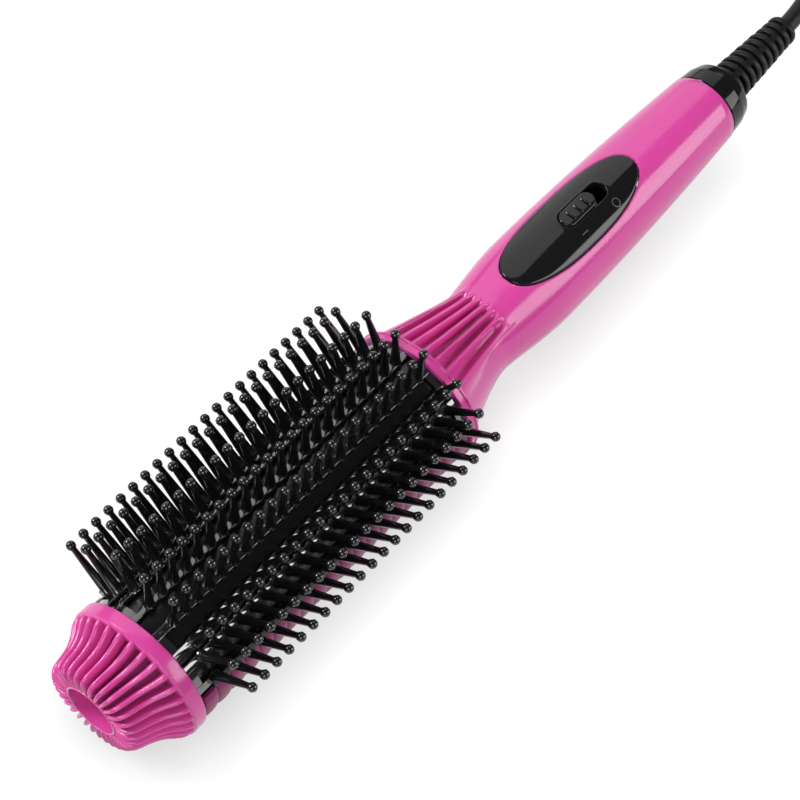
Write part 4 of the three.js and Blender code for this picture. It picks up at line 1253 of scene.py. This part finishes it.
# The cord. Its points are stations behind the strain relief, places across the comb, and heights
# above the floor, in millimetres.
LAYER_HEIGHT = 4.2
COIL_CENTRE = (123.7, 0)
COIL_OUTER = 49.65
COIL_TURNS = 3.05
COIL_PITCH = 7.3
COIL_LIFT = 7.2
COIL_START = 92
PLUG_AT = (119.7, 18.4, 22.7)
PLUG_TURN = math.radians(-24)
STRETCH = (
    (7.7, 0.4, 23.6), (16.7, 1.7, 22.9), (25.7, 3.3, 20.9), (35.7, 6.1, 17.1), (45.7, 10.4, 12.4),
    (55.7, 16.4, 8), (65.7, 23.8, 5.3), (75.7, 31.7, 4.3), (85.7, 39, 4.2), (95.7, 45, 4.2),
    (105.7, 48.6, 4.2),
)
TAIL = (
    (84.6, -33.3, 11.6), (80.2, -27.6, 12.4), (76.6, -21.6, 13.4), (74.1, -15.1, 14.7), (72.8, -8.3, 16.1),
    (73, -0.3, 17.5), (75.3, 7, 18.3), (79.4, 13.3, 18.8), (85, 18.5, 19.2), (91.7, 22, 19.8),
    (99.1, 23.6, 20.6), (106.6, 23.3, 21.5), (113.4, 21.2, 22.2), (119.4, 18.5, 22.7),
)
CORD_PLACE = Matrix.Translation((NOSE_FRONT + RELIEF_END, 0, 0)) @ Matrix.Scale(MM, 4)


def coil_line():
    """The coil's centreline: in along the lower layer, up a layer, and out along the upper one."""
    half = COIL_TURNS + 0.25
    soft = 0.06
    points_a_turn = 72
    inner = COIL_OUTER - COIL_PITCH * (math.hypot(half, soft) - soft)
    line = []
    for u in spread(round(points_a_turn * half) + 1, -half, half):
        r = inner + COIL_PITCH * (math.hypot(u, soft) - soft)
        angle = math.radians(COIL_START) - (u + half) * 2 * math.pi
        climb = smoothstep(u / 0.5 + 0.5)
        line.append((
            COIL_CENTRE[0] + r * math.cos(angle),
            COIL_CENTRE[1] + r * math.sin(angle),
            LAYER_HEIGHT + COIL_LIFT * climb,
        ))
    return line


def build_cord():
    """The whole cord, from inside the strain relief to inside the plug, as one round curve."""
    cord = bpy.context.scene.comb_cord
    free = [*[(x, 0, AXIS_HEIGHT / MM) for x in (-2.6, 1.4)], *STRETCH]
    coil = coil_line()
    line = [*smooth_line([*free, coil[0]], 6)[:-1], *[Vector(p) for p in coil[:-1]]]
    line += smooth_line([coil[-1], *TAIL], 6)
    line = [CORD_PLACE @ p for p in line]
    curve = bpy.data.curves.new("mains_cord", "CURVE")
    curve.dimensions = "3D"
    spline = curve.splines.new("POLY")
    spline.points.add(len(line) - 1)
    for point, place in zip(spline.points, line):
        point.co = (*place, 1)
    curve.bevel_depth = cord.diameter / 2
    curve.bevel_resolution = 5
    curve.use_fill_caps = True
    lengths = ("power_cord", "cord_coil", "cord_tail")
    piece = settle(added("mains_cord", curve), "cord_black", stands_for=lengths, place=Matrix())
    return piece, line


def pillow(half_long, half_wide, half_high, roll, power=3.2, number=72):
    """Loops of a block with rounded edges, from its underside to its top."""
    edge = []
    for angle in (math.radians(d) for d in (-90, -65, -40, -18, 0)):
        edge.append((roll * (math.cos(angle) - 1), -half_high + roll * (1 + math.sin(angle))))
    edge += [(margin, -z) for margin, z in edge[::-1]]
    return [
        [(x, y, z) for x, y in oval(half_long + margin, half_wide + margin, power, number)]
        for margin, z in edge
    ]


def build_plug():
    """A flat two-pin plug with a short ribbed neck, in millimetres."""
    neck = 6.0
    long = 30.0
    apart = 19.0
    rib_pitch = 1.9
    pin_radius = 2
    body = new_piece("body", *rings([
        [(neck + long / 2 + x, y, z) for x, y, z in loop] for loop in pillow(long / 2, 17.0, 6.8, 2.6)
    ]))
    profile = [(0, 3.5), (0, 4.4)]
    for start in (rib_pitch * k for k in range(3)):
        profile += [(start + 0.3, 4.6), (start + 1.5, 4.7), (start + 1.6, 4.1), (start + 2.1, 4.1)]
    profile += [(neck + 3, 5.4), (neck + 3, 3.5)]
    boot = turned("boot", profile, segments=48, closed=True)
    turn = CORD_PLACE @ Matrix.Translation(PLUG_AT) @ Matrix.Rotation(PLUG_TURN, 4, "Z")
    pieces = [settle(tidy(joined("plug", [body, boot])), "cord_black", stands_for=["plug_body"], place=turn)]
    inside, tip = neck + long - 7.7, neck + long + 19
    for side, node in ((1, "plug_pin_1"), (-1, "plug_pin_2")):
        prong = turned(node + "_metal", softened([
            (inside, 0), (inside, pin_radius), (tip, pin_radius, 0.9), (tip, 0),
        ], closed=False), segments=32)
        prong.data.transform(Matrix.Translation((0, side * apart / 2, 0)))
        pieces.append(settle(prong, "steel", stands_for=[node], place=turn))
    return pieces


def build_ties():
    """The two straps that hold the coil's turns together."""
    ties = []
    thick = 0.6 * MM
    half_width = 2 * MM
    corner = 2.6 * MM
    centre = CORD_PLACE @ Vector((*COIL_CENTRE, 0))
    for node, degrees in (("cord_tie_left", 60), ("cord_tie_right", -60)):
        turn = Matrix.Rotation(math.radians(degrees), 4, "Z")
        local = [turn.inverted() @ (v.co - centre) for v in frame["nodes"][node].data.vertices]
        low = Vector([min(p[i] for p in local) for i in range(3)])
        high = Vector([max(p[i] for p in local) for i in range(3)])
        loops = []
        for grow, y in ((0, -half_width), (0, half_width), (thick, half_width), (thick, -half_width)):
            left, right, below, above = low.x + grow, high.x - grow, low.z + grow, high.z - grow
            corners = ((left, below), (right, below), (right, above), (left, above))
            outline = softened([(x, z, corner - grow) for x, z in corners], steps=6)
            loops.append([(x, y, z) for x, z in outline])
        tie = tidy(new_piece(node + "_strap", *rings([*loops, loops[0]], caps=False)))
        ties.append(settle(tie, "cord_black", stands_for=[node], place=Matrix.Translation(centre) @ turn))
    return ties


# What stays as the frame has it gets its finish here.
INNER = {
    "steel": ("nose_screw", "thermal_fuse", "handle_screw_front", "handle_screw_rear"),
    "heatproof_black": (
        "front_collar", "ptc_heater", "rear_collar", "switch_slider", "slide_switch_body", "contact_carrier",
    ),
    "film": ("heater_insulation",),
    "aluminium": ("heat_spreader_upper", "heat_spreader_lower"),
    "cord_black": ("heater_lead_live", "heater_lead_neutral", "supply_lead_live", "supply_lead_neutral"),
    "board": ("circuit_board",),
    "brass": ("contact_spring_live", "contact_spring_neutral", "slip_ring_disc"),
}


def paint_inner_parts():
    """Gives the frame's own pieces their finishes."""
    for name, nodes in INNER.items():
        for node in nodes:
            materials = frame["nodes"][node].data.materials
            materials.clear()
            materials.append(finish(name))


# The stage.
CAMERA_AT = (-0.35271, -0.22139, 0.65885)
CAMERA_TURN = (31.458, -3.052, -50.068)
CAMERA_LENS = 108.03

# Each lamp's place, the point that it faces, its size, its radiance, and its roll in degrees.
LAMPS = {
    "side box": ((0.531, -0.82, 0.487), (0.111, 0.04, 0.017), (1.0, 0.56), 4.9, -29),
    "back box": ((0.914, 0.836, 0.95), (0.464, -0.164, 0.03), (1.8, 1.8), 1.1, 50),
    "key box": ((-0.6, 1.0, 0.85), (0.0, 0.0, 0.03), (0.6, 0.6), 15.5, 0),
    "front box": ((-1.1, -0.5, 0.7), (-0.15, 0.0, 0.02), (0.8, 0.8), 3.8, 0),
}
WORLD_LIGHT = 0.08

# The floor's glow, and its painted contact shadow: the share of the glow that is left under a piece, and how
# far from a piece it is whole again.
FLOOR_GLOW = 0.91
PAINTED_SHADOW_SHARE = 0.45
CONTACT_REACH = 20 * MM


def area_lamp(name, at, aim, size, radiance, roll):
    """A rectangular lamp whose face has the given radiance, rolled in its plane by some degrees."""
    lamp = bpy.data.lights.new(name, "AREA")
    lamp.shape = "RECTANGLE"
    lamp.size, lamp.size_y = size
    lamp.energy = radiance * math.pi * size[0] * size[1]
    box = added(name, lamp)
    box.location = at
    facing = (Vector(aim) - Vector(at)).to_track_quat("-Z", "Y").to_matrix()
    box.rotation_euler = (facing @ Matrix.Rotation(math.radians(roll), 3, "Z")).to_euler()


def floor_material():
    """A floor that glows white where the camera or a reflection sees it, with a painted shadow that dims the
    glow close to a piece.
    """
    shader = Shader("studio floor")
    path = shader.add("ShaderNodeLightPath")
    seen = shader.math("MAXIMUM", path["Is Camera Ray"], path["Is Glossy Ray"])
    seen = shader.math("MAXIMUM", seen, path["Is Transmission Ray"])
    # Painted contact shadow: the glow is dimmed by ambient occlusion near the pieces, not by the lamps.
    near = shader.add("ShaderNodeAmbientOcclusion", {"Distance": CONTACT_REACH})["AO"]
    clear = shader.between(near, PAINTED_SHADOW_SHARE, 1.0)
    strength = shader.math("MULTIPLY", shader.math("MULTIPLY", seen, FLOOR_GLOW), clear)
    colour = (*bpy.context.scene.comb_colours.floor, 1.0)
    diffuse = shader.add("ShaderNodeBsdfDiffuse", {"Color": colour})[0]
    glow = shader.add("ShaderNodeEmission", {"Strength": strength})[0]
    return shader.finished(shader.add("ShaderNodeAddShader", {0: diffuse, 1: glow})[0])


def build_stage():
    """The floor, the even light around, the lamps and the camera."""
    scene = bpy.context.scene
    scene.view_settings.view_transform = "Standard"
    half = 3.0
    corners = [(-half, -half, 0), (half, -half, 0), (half, half, 0), (-half, half, 0)]
    floor = new_piece("floor", corners, [(0, 1, 2, 3)])
    floor.location.z = -0.2 * MM
    floor.data.materials.append(floor_material())
    world = bpy.data.worlds.new("studio")
    world.use_nodes = True
    sky = world.node_tree.nodes["Background"].inputs
    sky["Color"].default_value = (1, 1, 1, 1)
    sky["Strength"].default_value = WORLD_LIGHT
    scene.world = world
    for name, lamp in LAMPS.items():
        area_lamp(name, *lamp)
    camera = bpy.data.cameras.new("camera")
    camera.lens = CAMERA_LENS
    camera.sensor_width = 36
    camera.clip_start = 0.01
    view = added("camera", camera)
    view.location = CAMERA_AT
    view.rotation_euler = [math.radians(a) for a in CAMERA_TURN]
    scene.camera = view


# Operators, one for each group of pieces.
class COMB_OT_stage(Operator):
    """Set up the floor, the lamps and the camera"""
    bl_idname = "comb.stage"
    bl_label = "Stage"

    def execute(self, context):
        build_stage()
        return {"FINISHED"}


class COMB_OT_cord(Operator):
    """Make the cord with its coil, plug and straps"""
    bl_idname = "comb.cord"
    bl_label = "Cord"

    def execute(self, context):
        piece, line = build_cord()
        pieces = [*build_plug(), *build_ties()]
        return {"FINISHED"}


class COMB_OT_nose(Operator):
    """Make the finned nose"""
    bl_idname = "comb.nose"
    bl_label = "Nose"

    def execute(self, context):
        build_nose()
        return {"FINISHED"}


class COMB_OT_head(Operator):
    """Make the heated barrel and the ribbed back"""
    bl_idname = "comb.head"
    bl_label = "Barrel and Back"

    def execute(self, context):
        build_barrel()
        build_back_shell()
        return {"FINISHED"}


class COMB_OT_pins(Operator):
    """Make the four bars of pins"""
    bl_idname = "comb.pins"
    bl_label = "Pins"

    def execute(self, context):
        build_bristle_bars()
        return {"FINISHED"}


class COMB_OT_handle(Operator):
    """Make the two shells of the handle"""
    bl_idname = "comb.handle"
    bl_label = "Handle"

    def execute(self, context):
        build_handle()
        return {"FINISHED"}


class COMB_OT_switch(Operator):
    """Make the panel, its marks and the sliding knob"""
    bl_idname = "comb.switch"
    bl_label = "Switch"

    def execute(self, context):
        build_panel()
        build_marks()
        build_knob()
        return {"FINISHED"}


class COMB_OT_cord_end(Operator):
    """Make the end cap, the bush and the strain relief"""
    bl_idname = "comb.cord_end"
    bl_label = "Cap and Relief"

    def execute(self, context):
        build_end_cap()
        build_relief()
        return {"FINISHED"}


class COMB_OT_inner_parts(Operator):
    """Give the parts inside their finishes"""
    bl_idname = "comb.inner_parts"
    bl_label = "Inner Parts"

    def execute(self, context):
        paint_inner_parts()
        return {"FINISHED"}


OPERATORS = (
    COMB_OT_stage,
    COMB_OT_cord,
    COMB_OT_nose,
    COMB_OT_head,
    COMB_OT_pins,
    COMB_OT_handle,
    COMB_OT_switch,
    COMB_OT_cord_end,
    COMB_OT_inner_parts,
)


class COMB_PT_panel(Panel):
    """The comb's operators and sizes"""
    bl_label = "Hair Straightening Comb"
    bl_idname = "COMB_PT_panel"
    bl_space_type = "VIEW_3D"
    bl_region_type = "UI"
    bl_category = "Comb"

    def draw(self, context):
        for operator in OPERATORS:
            self.layout.operator(operator.bl_idname)
        for name, group in GROUPS.items():
            box = self.layout.box()
            for prop in group.__annotations__:
                box.prop(getattr(context.scene, name), prop)


def register():
    for group in (*GROUPS.values(), *OPERATORS, COMB_PT_panel):
        bpy.utils.register_class(group)
    for name, group in GROUPS.items():
        setattr(bpy.types.Scene, name, PointerProperty(type=group))


def unregister():
    for name in GROUPS:
        delattr(bpy.types.Scene, name)
    for group in (COMB_PT_panel, *reversed(OPERATORS), *GROUPS.values()):
        bpy.utils.unregister_class(group)


def main():
    register()
    for operator in OPERATORS:
        family, name = operator.bl_idname.split(".")
        getattr(getattr(bpy.ops, family), name)()
    bpy.context.view_layer.update()


if __name__ == "__main__":
    main()
